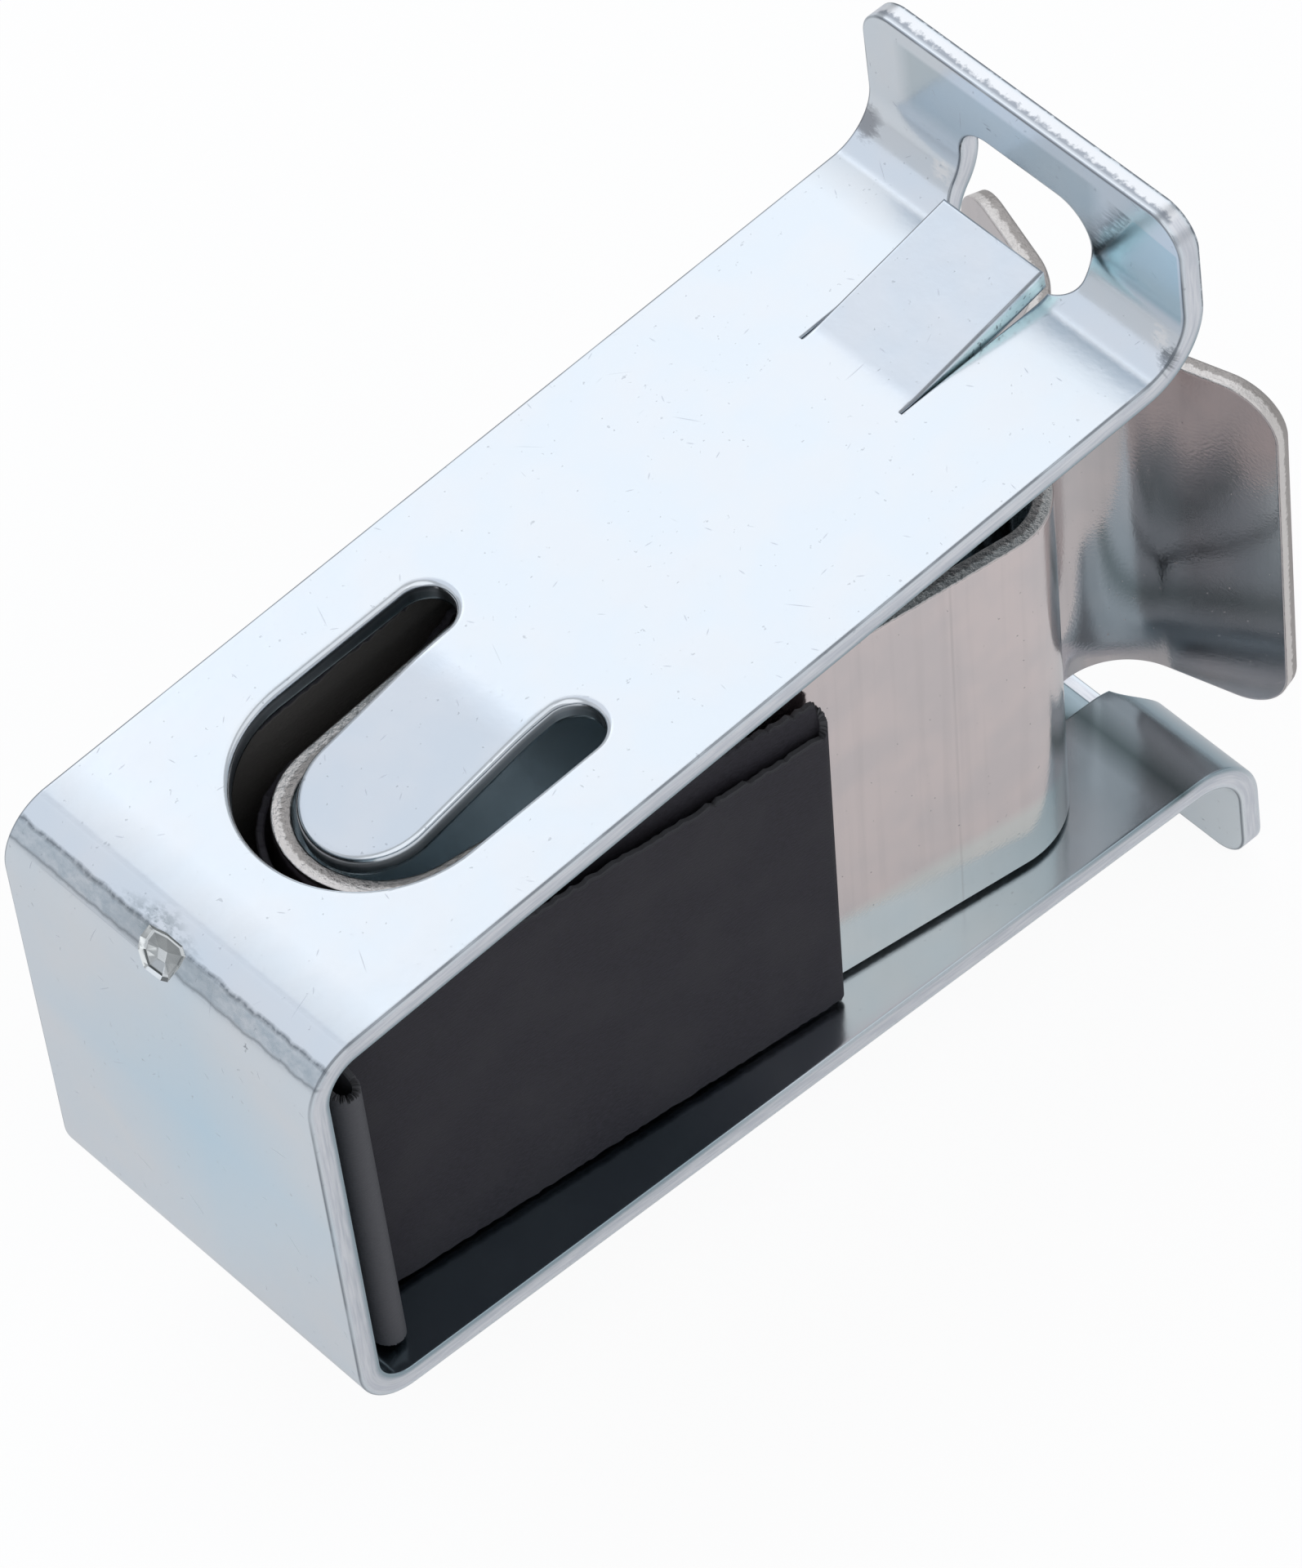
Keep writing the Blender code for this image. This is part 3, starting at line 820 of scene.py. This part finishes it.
def sleeve_track():
    """Half of the sleeve's middle line, and the distances to its outer fold and its ear."""
    half = SLEEVE_SHEET / 2
    radius = CLOSED_RADIUS + SLEEVE_GAP + half
    fold = (SLEEVE_FOLD - SLEEVE_SHEET) / 2
    ear = (EAR_WIDTH - SLEEVE_SHEET) / 2
    track = Track(CLOSED_END - radius, 0, -QUARTER)
    track.turn(QUARTER - LEG_ANGLE, radius)
    track.run((SLEEVE_REACH - half - fold - track.end[0]) / math.cos(LEG_ANGLE))
    outer_fold = track.length
    track.turn(-(math.pi - LEG_ANGLE + SLEEVE_DIVERGE), fold)
    web_layer = SHEET + EAR_TO_WEB + half
    return_layer = web_layer + 2 * ear
    sweep = EAR_CORNER * (1 + math.sin(SLEEVE_DIVERGE))
    track.run((track.end[0] - return_layer - sweep) / math.cos(SLEEVE_DIVERGE))
    ear_start = track.length
    track.turn(QUARTER + SLEEVE_DIVERGE, EAR_CORNER)
    track.run(track.end[1] + STRIP_WIDTH / 2 - EAR_INSET - half - ear)
    track.turn(-math.pi, ear)
    track.run(-track.end[1])
    return track, outer_fold, ear_start


def sleeve_marks(track):
    marks = []
    ends = track.stations() + [track.length]
    for start, end in zip(ends, ends[1:]):
        count = max(1, round((end - start) / RAGGED_STEP))
        marks += [start + (end - start) * step / count for step in range(count)]
    return marks + [track.length]


def make_sleeve(finish):
    """Closed band whose torn top edge rises to the far side, as fine as its tear."""
    track, outer_fold, ear_start = sleeve_track()
    marks = sleeve_marks(track)
    ring = [(mark, 1) for mark in marks] + [(mark, -1) for mark in reversed(marks[1:-1])]
    tear = random.Random(TEAR_SEED)
    mesh = bmesh.new()
    shape = mesh.verts.layers.float_vector.new("shape")
    rim = mesh.verts.layers.float.new("rim")
    half = SLEEVE_SHEET / 2
    rows = []
    for mark, side in ring:
        x, y, heading = track.at(mark)
        upright = share(mark, outer_fold, ear_start)
        fold_left = 1 - share(mark, outer_fold, outer_fold + SLEEVE_FOLD)
        top = SEAT_GAP + SLEEVE_HEIGHT + INNER_RISE * fold_left
        top += SLEEVE_SLANT * (side * y + STRIP_WIDTH / 2 - EAR_INSET)
        hidden = SEAT_GAP + SPRING_HEIGHT - INNER_BELOW_SPRING
        hidden += INNER_CLIMB * share(mark, outer_fold * INNER_CLIMB_START, outer_fold)
        hidden += OUTER_CLIMB * share(mark, outer_fold, outer_fold + TOUCH)
        top = min(top, roof(x) - ROOF_GAP, hidden) + tear.uniform(-RAGGED_EDGE, RAGGED_EDGE)
        foot = SEAT_GAP + tear.uniform(0, RAGGED_EDGE)
        soft = half * SLEEVE_SOFTNESS
        section = [(-half, foot + soft), (-half + soft, foot), (half - soft, foot),
                   (half, foot + soft), (half, top - 4 * soft), (half, top - soft),
                   (half - soft, top), (-half + soft, top), (-half, top - soft),
                   (-half, top - 4 * soft)]
        row = []
        for reach, up in section:
            across = side * (y + reach * math.cos(heading))
            lean = upright * up * math.tan(SPLAY)
            made = mesh.verts.new(on_seat(x - reach * math.sin(heading) - lean, across, up) * METRE)
            made[shape] = Vector((side * mark, up, reach))
            made[rim] = min(1.0, top - up)
            row.append(made)
        rows.append(row)
    for row, following in zip(rows, rows[1:] + rows[:1]):
        for i in range(len(row)):
            j = (i + 1) % len(row)
            mesh.faces.new([row[i], row[j], following[j], following[i]]).smooth = True
    data = finish_mesh("sleeve_skin", mesh)
    add_piece("sleeve_skin", data, finish, "sleeve")


class Nodes:
    """The nodes of a material or of the world, with short calls that make them."""

    def __init__(self, owner):
        owner.use_nodes = True
        self.owner = owner
        self.tree = owner.node_tree

    def node(self, kind, *values, **named):
        """Node with its first inputs fed in order, and its settings and other inputs by name."""
        made = self.tree.nodes.new(kind)
        for socket, value in zip(made.inputs, values):
            self.feed(socket, value)
        return self.fill(made, **named)

    def fill(self, node, **named):
        for key, value in named.items():
            if hasattr(node, key):
                setattr(node, key, value)
            else:
                self.feed(node.inputs[key.replace("_", " ")], value)
        return node

    def feed(self, socket, value):
        if isinstance(value, bpy.types.NodeSocket):
            self.tree.links.new(value, socket)
        else:
            socket.default_value = (*value, 1) if socket.type == "RGBA" else value

    def math(self, operation, *values, kind="ShaderNodeMath"):
        return self.node(kind, *values, operation=operation).outputs[0]

    def span(self, value, low, high, start=0.0, end=1.0):
        """Value carried from low..high to start..end, clamped."""
        return self.node("ShaderNodeMapRange", value, low, high, start, end).outputs[0]

    def fall(self, value, low, high):
        return self.span(value, low, high, 1.0, 0.0)

    def blend(self, mask, first, second):
        made = self.node("ShaderNodeMix", mask, data_type="RGBA")
        self.feed(made.inputs[6], first)
        self.feed(made.inputs[7], second)
        return made.outputs[2]

    def noise(self, vector, scale, detail=2.0, roughness=0.5, solid=False):
        """Noise over the flat pattern, or through the sheet's thickness too."""
        made = self.node("ShaderNodeTexNoise", noise_dimensions="3D" if solid else "2D",
                         Vector=vector, Scale=scale, Detail=detail, Roughness=roughness)
        return made.outputs["Fac"]

    def drawn(self, vector, stretch, noise, solid=False):
        return self.noise(self.stretched(vector, *stretch), *noise, solid=solid)

    def attribute(self, name, output="Fac"):
        return self.node("ShaderNodeAttribute", attribute_name=name).outputs[output]

    def axes(self, vector):
        return self.node("ShaderNodeSeparateXYZ", vector).outputs

    def stretched(self, vector, scale, turn=0.0):
        return self.node("ShaderNodeMapping", vector, Scale=scale, Rotation=(0, 0, turn)).outputs[0]

    def near(self, value, centre, width):
        """One where a value is at the centre, falling to nothing a width away."""
        return self.fall(self.away(value, centre), 0.0, width)

    def away(self, value, centre):
        return self.math("ABSOLUTE", self.math("SUBTRACT", value, centre))

    def within(self, value, rise, fall):
        """One between a rise and a fall, and nothing beyond them."""
        return self.product(self.span(value, *rise), self.fall(value, *fall))

    def chain(self, operation, first, *others):
        for other in others:
            first = self.math(operation, first, other)
        return first

    def total(self, *terms):
        return self.chain("ADD", *terms)

    def product(self, *factors):
        return self.chain("MULTIPLY", *factors)

    def any_of(self, *masks):
        return self.chain("MAXIMUM", *masks)

    def paint(self, colour, mask, shade, strength=1.0):
        """Colour with a shade laid over it where the mask is."""
        return self.blend(self.product(mask, strength), colour, shade)

    def scratches(self, vector, cell, length, width, amount):
        """Short thin lines in all directions: in some cells of the flat pattern, one line each."""
        scaled = self.stretched(vector, (1 / cell, 1 / cell, 0))
        cells = self.node("ShaderNodeTexVoronoi", scaled, voronoi_dimensions="2D",
                          Scale=1.0).outputs
        chance = self.node("ShaderNodeSeparateColor", cells["Color"]).outputs
        away = self.math("SUBTRACT", scaled, cells["Position"], kind="ShaderNodeVectorMath")
        turned = self.node("ShaderNodeVectorRotate", away, rotation_type="Z_AXIS",
                           Angle=self.product(chance[0], 2 * math.pi)).outputs[0]
        line = self.stretched(turned, (cell / length, cell / width, 0))
        far = self.distance(line, (0, 0, 0))
        return self.product(self.fall(far, 0.5, 1.0),
                            self.span(chance[1], amount, amount * SCRATCH_FADE))

    def distance(self, *places):
        return self.node("ShaderNodeVectorMath", *places, operation="DISTANCE").outputs[1]

    def spot(self, vector, place, reach):
        """One at a place in the flat pattern, falling to nothing at a reach from it."""
        return self.fall(self.distance(vector, place), reach * SPOT_CORE, reach)

    def relief(self, *layers):
        """Normal of a surface raised by the sum of (mask, height in millimetres) layers."""
        height = self.total(*[self.product(mask, height) for mask, height in layers])
        return self.node("ShaderNodeBump", Height=height, Distance=METRE).outputs["Normal"]

    def shader(self, **inputs):
        return self.fill(self.tree.nodes["Principled BSDF"], **inputs).outputs[0]

    def surface(self, end, *shaders):
        """Leads two shaders, mixed by a share that comes first, to an end node."""
        mixed = self.node("ShaderNodeMixShader", *shaders).outputs[0]
        self.fill(self.tree.nodes[end], Surface=mixed)


class ZincFields:
    """Places, edges and noises on the bracket's sheet that the zinc's marks are drawn from."""

    def __init__(self, m):
        self.shape = m.attribute("shape", "Vector")
        self.rim = m.attribute("rim")
        self.rolled = m.attribute("rolled")
        self.flat, self.across, self.height = m.axes(self.shape)
        self.outside = m.span(self.height, *OUTER_HALF)
        self.cloud = m.noise(self.shape, *CLOUD)
        self.fine = m.noise(self.shape, *FINE, solid=True)
        self.rubbed = m.drawn(self.shape, *RUBBED)


def zinc_tints(m, f):
    """The plate's own colour and specks, with painted light: a reflection on the web, shade inside
    the U, by the mouth and beside bends, a sheen and a reflection on the lips.
    """
    colour = m.blend(m.span(f.cloud, *MID_NOISE), *ZINC)
    # painted reflection: bluer towards the web's middle
    from_web_reflection = m.total(m.away(f.flat, WEB_REFLECTION_PLACE[0]), m.away(f.across, WEB_REFLECTION_PLACE[1]))
    colour = m.paint(colour, m.near(from_web_reflection, 0.0, WEB_REFLECTION_REACH), *WEB_PAINTED_REFLECTION)
    # painted shade: the inner skin darkened under the sleeve and towards the lower mouth, fading at
    # the lips
    inside_shade = m.any_of(m.span(f.flat, *UNDER_SLEEVE), m.span(f.flat, *LOWER_MOUTH))
    inside_shade = m.product(inside_shade, m.math("SUBTRACT", 1.0, f.outside),
                     m.span(m.away(f.flat, 0.0), *LIP_FRONTS))
    colour = m.paint(colour, inside_shade, *INNER_U_PAINTED_SHADE)
    # painted shade: dark band on the inner skin near the lower mouth
    band = m.product(m.near(f.flat, *MOUTH_SHADE_AT), m.fall(f.height, *INNER_HALF))
    colour = m.paint(colour, band, *MOUTH_PAINTED_SHADE)
    # painted sheen on the lower lip's outer face
    on_lip = m.product(m.fall(f.flat, *LOWER_LIP_BACK), f.outside)
    colour = m.paint(colour, on_lip, *LOWER_LIP_PAINTED_SHEEN)
    beside_barb = m.math("GREATER_THAN", m.away(f.across, BARB_SHIFT), BARB_WIDTH / 2 + TOUCH)
    # painted shade beside the bends, on the outer skin only
    shade = m.any_of(m.within(f.flat, *SHADE_AFTER_BEND),
                     m.product(m.within(f.flat, *SHADE_BEFORE_LIP), beside_barb))
    colour = m.paint(colour, m.product(shade, f.outside), *BEND_PAINTED_SHADE)
    # painted reflection on the upper lip's outer skin
    lip_reflection = m.product(m.within(f.flat, *LIP_REFLECTION_UP), m.within(f.across, *LIP_REFLECTION_ACROSS), f.outside)
    colour = m.paint(colour, lip_reflection, *LIP_PAINTED_REFLECTION)
    return m.paint(colour, m.span(f.fine, *SPECK_NOISE), *SPECKS)


def zinc_fold(m, f, colour):
    """Creases, the rubbed band between them and a scuff at the upper web bend, and two masks."""
    noise = m.noise(f.shape, *WANDER)
    wavy = m.total(f.flat, m.product(m.total(noise, -0.5), CREASE_WANDER))
    broken = m.span(m.noise(f.shape, *BROKEN), *CREASE_BREAKS)
    upper = m.product(m.near(wavy, UPPER_CREASE, UPPER_CREASE_WIDTH), broken)
    lower = m.product(m.near(wavy, LOWER_CREASE, CREASE_WIDTH), LOWER_CREASE_STRENGTH)
    creases = m.product(m.any_of(upper, lower), f.outside)
    middle = (UPPER_CREASE + LOWER_CREASE) / 2
    half = UPPER_CREASE - middle
    band = m.product(m.fall(m.away(wavy, middle), half - CREASE_WIDTH, half),
                     m.span(f.rubbed, *FOLD_RUB), f.outside)
    colour = m.paint(colour, band, FOLD_BAND)
    colour = m.paint(colour, creases, *FOLD_CREASES)
    from_scuff = m.total(m.away(f.flat, SCUFF_PLACE[0]),
                         m.product(m.away(f.across, SCUFF_PLACE[1]), SCUFF_STRETCH))
    scuff = m.product(m.near(from_scuff, 0.0, SCUFF_REACH), f.outside, m.span(f.rubbed, *SCUFF_RUB))
    return m.paint(colour, scuff, *SCUFF), creases, band


def zinc_edges(m, f, colour):
    """Sheared edges, painted darker on the slot walls, and the painted shade lines beside them; the
    edges' mask comes with the colour.
    """
    depth = m.total(m.away(f.height, 0.0), -SHEET / 2)
    wall = m.product(m.fall(f.rim, *WALL_RIM), m.fall(depth, *WALL_DEPTH))
    streaks = m.drawn(f.shape, *STREAKS, solid=True)
    sheared = m.blend(m.span(streaks, *MID_NOISE), *SHEARED)
    # painted dark reflection on the walls of the slots
    sheared = m.paint(sheared, m.span(f.rolled, *SLOT_ROLLED), SLOT_WALL_DARK_REFLECTION)
    at_lip = m.span(f.flat, *LIP_EDGE)
    torn = m.total(f.height, m.product(m.total(f.fine, -0.5), LIP_TEAR))
    sheared = m.paint(sheared, m.product(at_lip, m.fall(torn, *LIP_PALE)), LIP_EDGE_PALE)
    sheared = m.paint(sheared, m.product(at_lip, m.span(torn, *LIP_TORN)), LIP_EDGE_TORN)
    on_cut = m.math("LESS_THAN", m.away(f.across, BARB_SHIFT - BARB_WIDTH / 2), BARB_CUT)
    on_barb = m.product(on_cut, m.near(f.flat, *BARB_WALL_AT))
    teal = m.blend(m.span(f.fine, *BARB_PATCHES), *BARB_WALL)
    sheared = m.blend(m.math("GREATER_THAN", on_barb, 0.0), sheared, teal)
    colour = m.blend(m.product(wall, SHEARED_STRENGTH), colour, sheared)
    # painted shade lines along the rims, on the outer skin and inside the lip's edge
    line = m.product(m.near(f.rim, *LINE_AT), m.fall(f.rolled, *LINE_ROLLED),
                     m.span(f.height, *LINE_HEIGHT), m.span(f.cloud, *LINE_BREAKS))
    lip_line = m.product(m.near(f.rim, *LIP_LINE_AT), m.span(f.flat, *LIP_INNER_EDGE),
                         m.fall(f.height, *LIP_LINE_HEIGHT), m.span(f.fine, *LIP_LINE_BREAKS))
    return m.paint(colour, m.any_of(line, lip_line), *EDGE_PAINTED_SHADE), wall


def zinc_lip(m, f, colour):
    """The bluish panel at the upper lip's near end, and the dark hatching along its slant."""
    slant = m.total(f.across, PANEL_START, m.product(m.total(f.flat, -PANEL_FOOT), PANEL_SLANT))
    top = m.total(f.flat, m.product(m.total(f.across, PANEL_MIDDLE), PANEL_TOP_SLANT))
    on_lip = m.product(m.span(f.flat, *PANEL_UP), m.fall(top, *PANEL_TOP),
                       m.span(f.rim, *PANEL_RIM), f.outside)
    colour = m.paint(colour, m.product(m.fall(slant, *PANEL_SIDE), on_lip), *LIP_PANEL)
    hatch = m.drawn(f.shape, *HATCHED)
    hatching = m.product(m.within(slant, *HATCH_REACH), on_lip, m.span(hatch, *HATCH_BREAKS))
    return m.paint(colour, hatching, *LIP_HATCH)


def zinc_spots_and_glints(m, f, colour):
    """Smudges, dots and two painted highlights, all with wobbled outlines."""
    wobble = m.product(m.total(f.rubbed, -0.5), SPOT_WOBBLE)
    wobbled = m.math("ADD", f.shape, wobble, kind="ShaderNodeVectorMath")
    for place, reach, strength, shade in ZINC_SPOTS_AND_GLINTS:
        colour = m.paint(colour, m.spot(wobbled, place, reach), shade, strength)
    return colour


def zinc_finish():
    """Bright zinc plate: faint tints, specks, scratches, fold creases, scuffs and sheared edges,
    with painted shade, reflections and highlights.
    """
    m = Nodes(bpy.data.materials.new("zinc_plate"))
    f = ZincFields(m)
    scratch = m.product(m.any_of(m.scratches(f.shape, *SHORT_SCRATCHES),
                                 m.scratches(f.shape, *LONG_SCRATCHES)), f.outside)
    colour = m.paint(zinc_tints(m, f), scratch, *SCRATCHES)
    colour, creases, band = zinc_fold(m, f, colour)
    # painted highlight and shade: each dart facet's grey blends the dark and the bright dart colour
    facet_light = m.attribute("facet_light")
    colour = m.blend(m.math("GREATER_THAN", facet_light, 0.0), colour, m.blend(facet_light, *DART_SHADE_AND_GLINT))
    colour, wall = zinc_edges(m, f, colour)
    colour = zinc_spots_and_glints(m, f, zinc_lip(m, f, colour))
    marks = m.any_of(scratch, creases, band, wall)
    rough = m.total(m.span(f.cloud, *ROUGH_NOISE, *ZINC_ROUGHNESS),
                    m.product(marks, MARK_ROUGHNESS))
    normal = m.relief((f.fine, FINE_RELIEF), (f.cloud, CLOUD_RELIEF))
    m.shader(Base_Color=colour, Roughness=rough, Metallic=1.0, Normal=normal)
    return m.owner


def spring_finish():
    """Warm grey rolled steel: upright grain, pits, painted shade inside, painted reflections at the
    shoulder and the foot, two-tone sheared edges.
    """
    m = Nodes(bpy.data.materials.new("spring_steel"))
    shape = m.attribute("shape", "Vector")
    rim = m.attribute("rim")
    along, up, height = m.axes(shape)
    flat = m.away(along, 0.0)
    cloud = m.noise(shape, *STEEL_CLOUD)
    colour = m.blend(m.span(cloud, *MID_NOISE), *STEEL)
    grain = m.drawn(shape, *STEEL_GRAIN)
    colour = m.paint(colour, m.span(grain, *GRAIN_NOISE), *GRAIN)
    pits = m.span(m.noise(shape, *BROKEN), *PIT_NOISE)
    colour = m.paint(colour, pits, *PITS)
    # painted dark reflection at the shoulder
    colour = m.paint(colour, m.span(flat, *SHOULDER), *SHOULDER_PAINTED_REFLECTION)
    # painted shade on the inner skin, fading towards the mouth
    inner = m.product(m.span(height, *INNER_HEIGHT), m.span(flat, *INNER_FADE))
    colour = m.paint(colour, inner, SPRING_INSIDE_PAINTED_SHADE)
    # painted reflection along the foot
    colour = m.paint(colour, m.product(m.fall(up, *FOOT_TOP), m.fall(flat, *FOOT_END)), *FOOT_PAINTED_REFLECTION)
    line = m.product(m.near(along, *LEG_LINE_AT), m.span(grain, *LEG_LINE_BREAKS))
    colour = m.paint(colour, line, *LEG_LINE_SHADE)
    wall = m.fall(rim, *SHEAR_RIM)
    rag = m.noise(shape, *SHEAR_RAG, solid=True)
    torn = m.span(m.total(height, m.product(rag, 0.5)), *TORN_HEIGHT)
    sheared = m.blend(m.within(flat, *GREY_EDGE), m.blend(torn, *PALE_SHEAR),
                      m.blend(torn, *GREY_SHEAR))
    colour = m.blend(wall, colour, sheared)
    rough = m.total(m.span(cloud, *ROUGH_NOISE, *STEEL_ROUGHNESS), m.product(wall, SHEAR_ROUGHNESS))
    grit = m.noise(shape, *STEEL_GRIT)
    normal = m.relief((grit, FINE_RELIEF), (pits, -PIT_DEPTH), (m.product(rag, wall), RAG_RELIEF))
    m.shader(Base_Color=colour, Roughness=rough, Metallic=1.0, Normal=normal)
    return m.owner


def sleeve_finish():
    """Matt near-black sheet with a faint fibre grain, a paler torn edge, painted light on the far
    inner face and a painted highlight down the ear.
    """
    m = Nodes(bpy.data.materials.new("black_sleeve"))
    shape = m.attribute("shape", "Vector")
    rim = m.attribute("rim")
    along, _, reach = m.axes(shape)
    fibre = m.drawn(shape, *FIBRE)
    colour = m.blend(m.span(fibre, *MID_NOISE), *BLACK)
    colour = m.paint(colour, m.span(m.noise(shape, *CLOUD), *SLEEVE_NOISE), *SLEEVE_CLOUD)
    # painted light: the far inner face made paler
    far_inside_lit = m.product(m.fall(along, *FAR_INSIDE_ALONG), m.fall(reach, *FAR_INSIDE_SKIN))
    colour = m.paint(colour, far_inside_lit, FAR_INSIDE_PAINTED_LIGHT)
    # painted highlight along the ear
    colour = m.paint(colour, m.near(along, *EAR_AT), *EAR_PAINTED_HIGHLIGHT)
    torn = m.product(m.fall(rim, *TORN_RIM), m.span(along, *TORN_ALONG))
    colour = m.paint(colour, torn, *TORN_SHADE)
    rough = m.span(fibre, *ROUGH_NOISE, *SLEEVE_ROUGHNESS)
    m.shader(Base_Color=colour, Roughness=rough, Normal=m.relief((fibre, FIBRE_RELIEF)),
             Specular_IOR_Level=SLEEVE_SPECULAR)
    return m.owner


def floor_finish():
    """White studio floor that stays white to the camera and keeps a soft shadow."""
    m = Nodes(bpy.data.materials.new("floor"))
    lit = m.shader(Roughness=FLOOR_ROUGHNESS, Specular_IOR_Level=0.0)
    paths = m.node("ShaderNodeLightPath").outputs
    seen = m.any_of(paths["Is Camera Ray"], paths["Is Transmission Ray"])
    seen = m.total(m.product(seen, GLOW_TO_CAMERA),
                   m.product(paths["Is Glossy Ray"], GLOW_TO_GLOSS))
    glow = m.node("ShaderNodeEmission", WHITE, FLOOR_GLOW).outputs[0]
    m.surface("Material Output", seen, lit, glow)
    return m.owner


def add_floor(level):
    data = bpy.data.meshes.new("floor")
    corners = [(x * FLOOR_HALF, y * FLOOR_HALF, level)
               for x, y in ((-1, -1), (1, -1), (1, 1), (-1, 1))]
    data.from_pydata(corners, [], [(0, 1, 2, 3)])
    data.materials.append(floor_finish())
    add_object("floor", data)


def add_camera():
    data = bpy.data.cameras.new("camera")
    data.sensor_width = CAMERA_SENSOR
    data.lens = CAMERA_LENS
    data.clip_start = CAMERA_NEAR
    camera = add_object("camera", data)
    turn = Matrix((CAMERA_RIGHT, CAMERA_UP, CAMERA_BACK)).transposed()
    camera.matrix_world = Matrix.Translation(CAMERA_PLACE) @ turn.to_4x4()
    bpy.context.scene.camera = camera


def add_softbox(name, start, end, rise, radiance, colour):
    """Light that fills a sweep of angles round the object's width, seen from the object.

    Start and end are degrees from upright towards the mouth, rise the degrees towards the far side.
    """
    middle, tall = math.radians((start + end) / 2), math.radians(rise)
    away = Vector((math.cos(tall) * math.sin(middle), math.sin(tall),
                   math.cos(tall) * math.cos(middle)))
    sideways = Vector((0, 1, 0)).cross(away).normalized()
    half = math.radians(end - start) / 2 * math.cos(tall)
    data = bpy.data.lights.new(name, "AREA")
    data.shape = "RECTANGLE"
    data.size = 2 * SOFTBOX_DISTANCE * math.tan(half)
    data.size_y = SOFTBOX_HEIGHT
    data.energy = radiance * math.pi * data.size * data.size_y
    data.color = colour
    turn = Matrix((sideways, away.cross(sideways), away)).transposed()
    place = Vector(SOFTBOX_CENTRE) + away * SOFTBOX_DISTANCE
    add_object(name, data).matrix_world = Matrix.Translation(place) @ turn.to_4x4()


def add_world():
    m = Nodes(bpy.data.worlds.new("studio"))
    ground = m.fill(m.tree.nodes["Background"], Color=WORLD_COLOUR, Strength=WORLD_STRENGTH)
    white = m.node("ShaderNodeBackground", WHITE, 1.0).outputs[0]
    seen = m.node("ShaderNodeLightPath").outputs["Is Camera Ray"]
    m.surface("World Output", seen, ground.outputs[0], white)
    bpy.context.scene.world = m.owner


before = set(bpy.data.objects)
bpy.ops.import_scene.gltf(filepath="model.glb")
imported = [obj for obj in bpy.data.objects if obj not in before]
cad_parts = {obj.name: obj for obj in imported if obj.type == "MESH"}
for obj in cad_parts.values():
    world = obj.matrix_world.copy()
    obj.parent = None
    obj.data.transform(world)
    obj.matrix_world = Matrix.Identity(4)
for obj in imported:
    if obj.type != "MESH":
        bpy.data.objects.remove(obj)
cad_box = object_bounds()
bpy.context.scene.view_settings.view_transform = "Standard"
add_camera()
make_bracket(zinc_finish())
make_spring(spring_finish())
make_sleeve(sleeve_finish())
add_floor(cad_box[0][2] - FLOOR_GAP * METRE)
add_world()
for softbox in SOFTBOXES:
    add_softbox(*softbox)
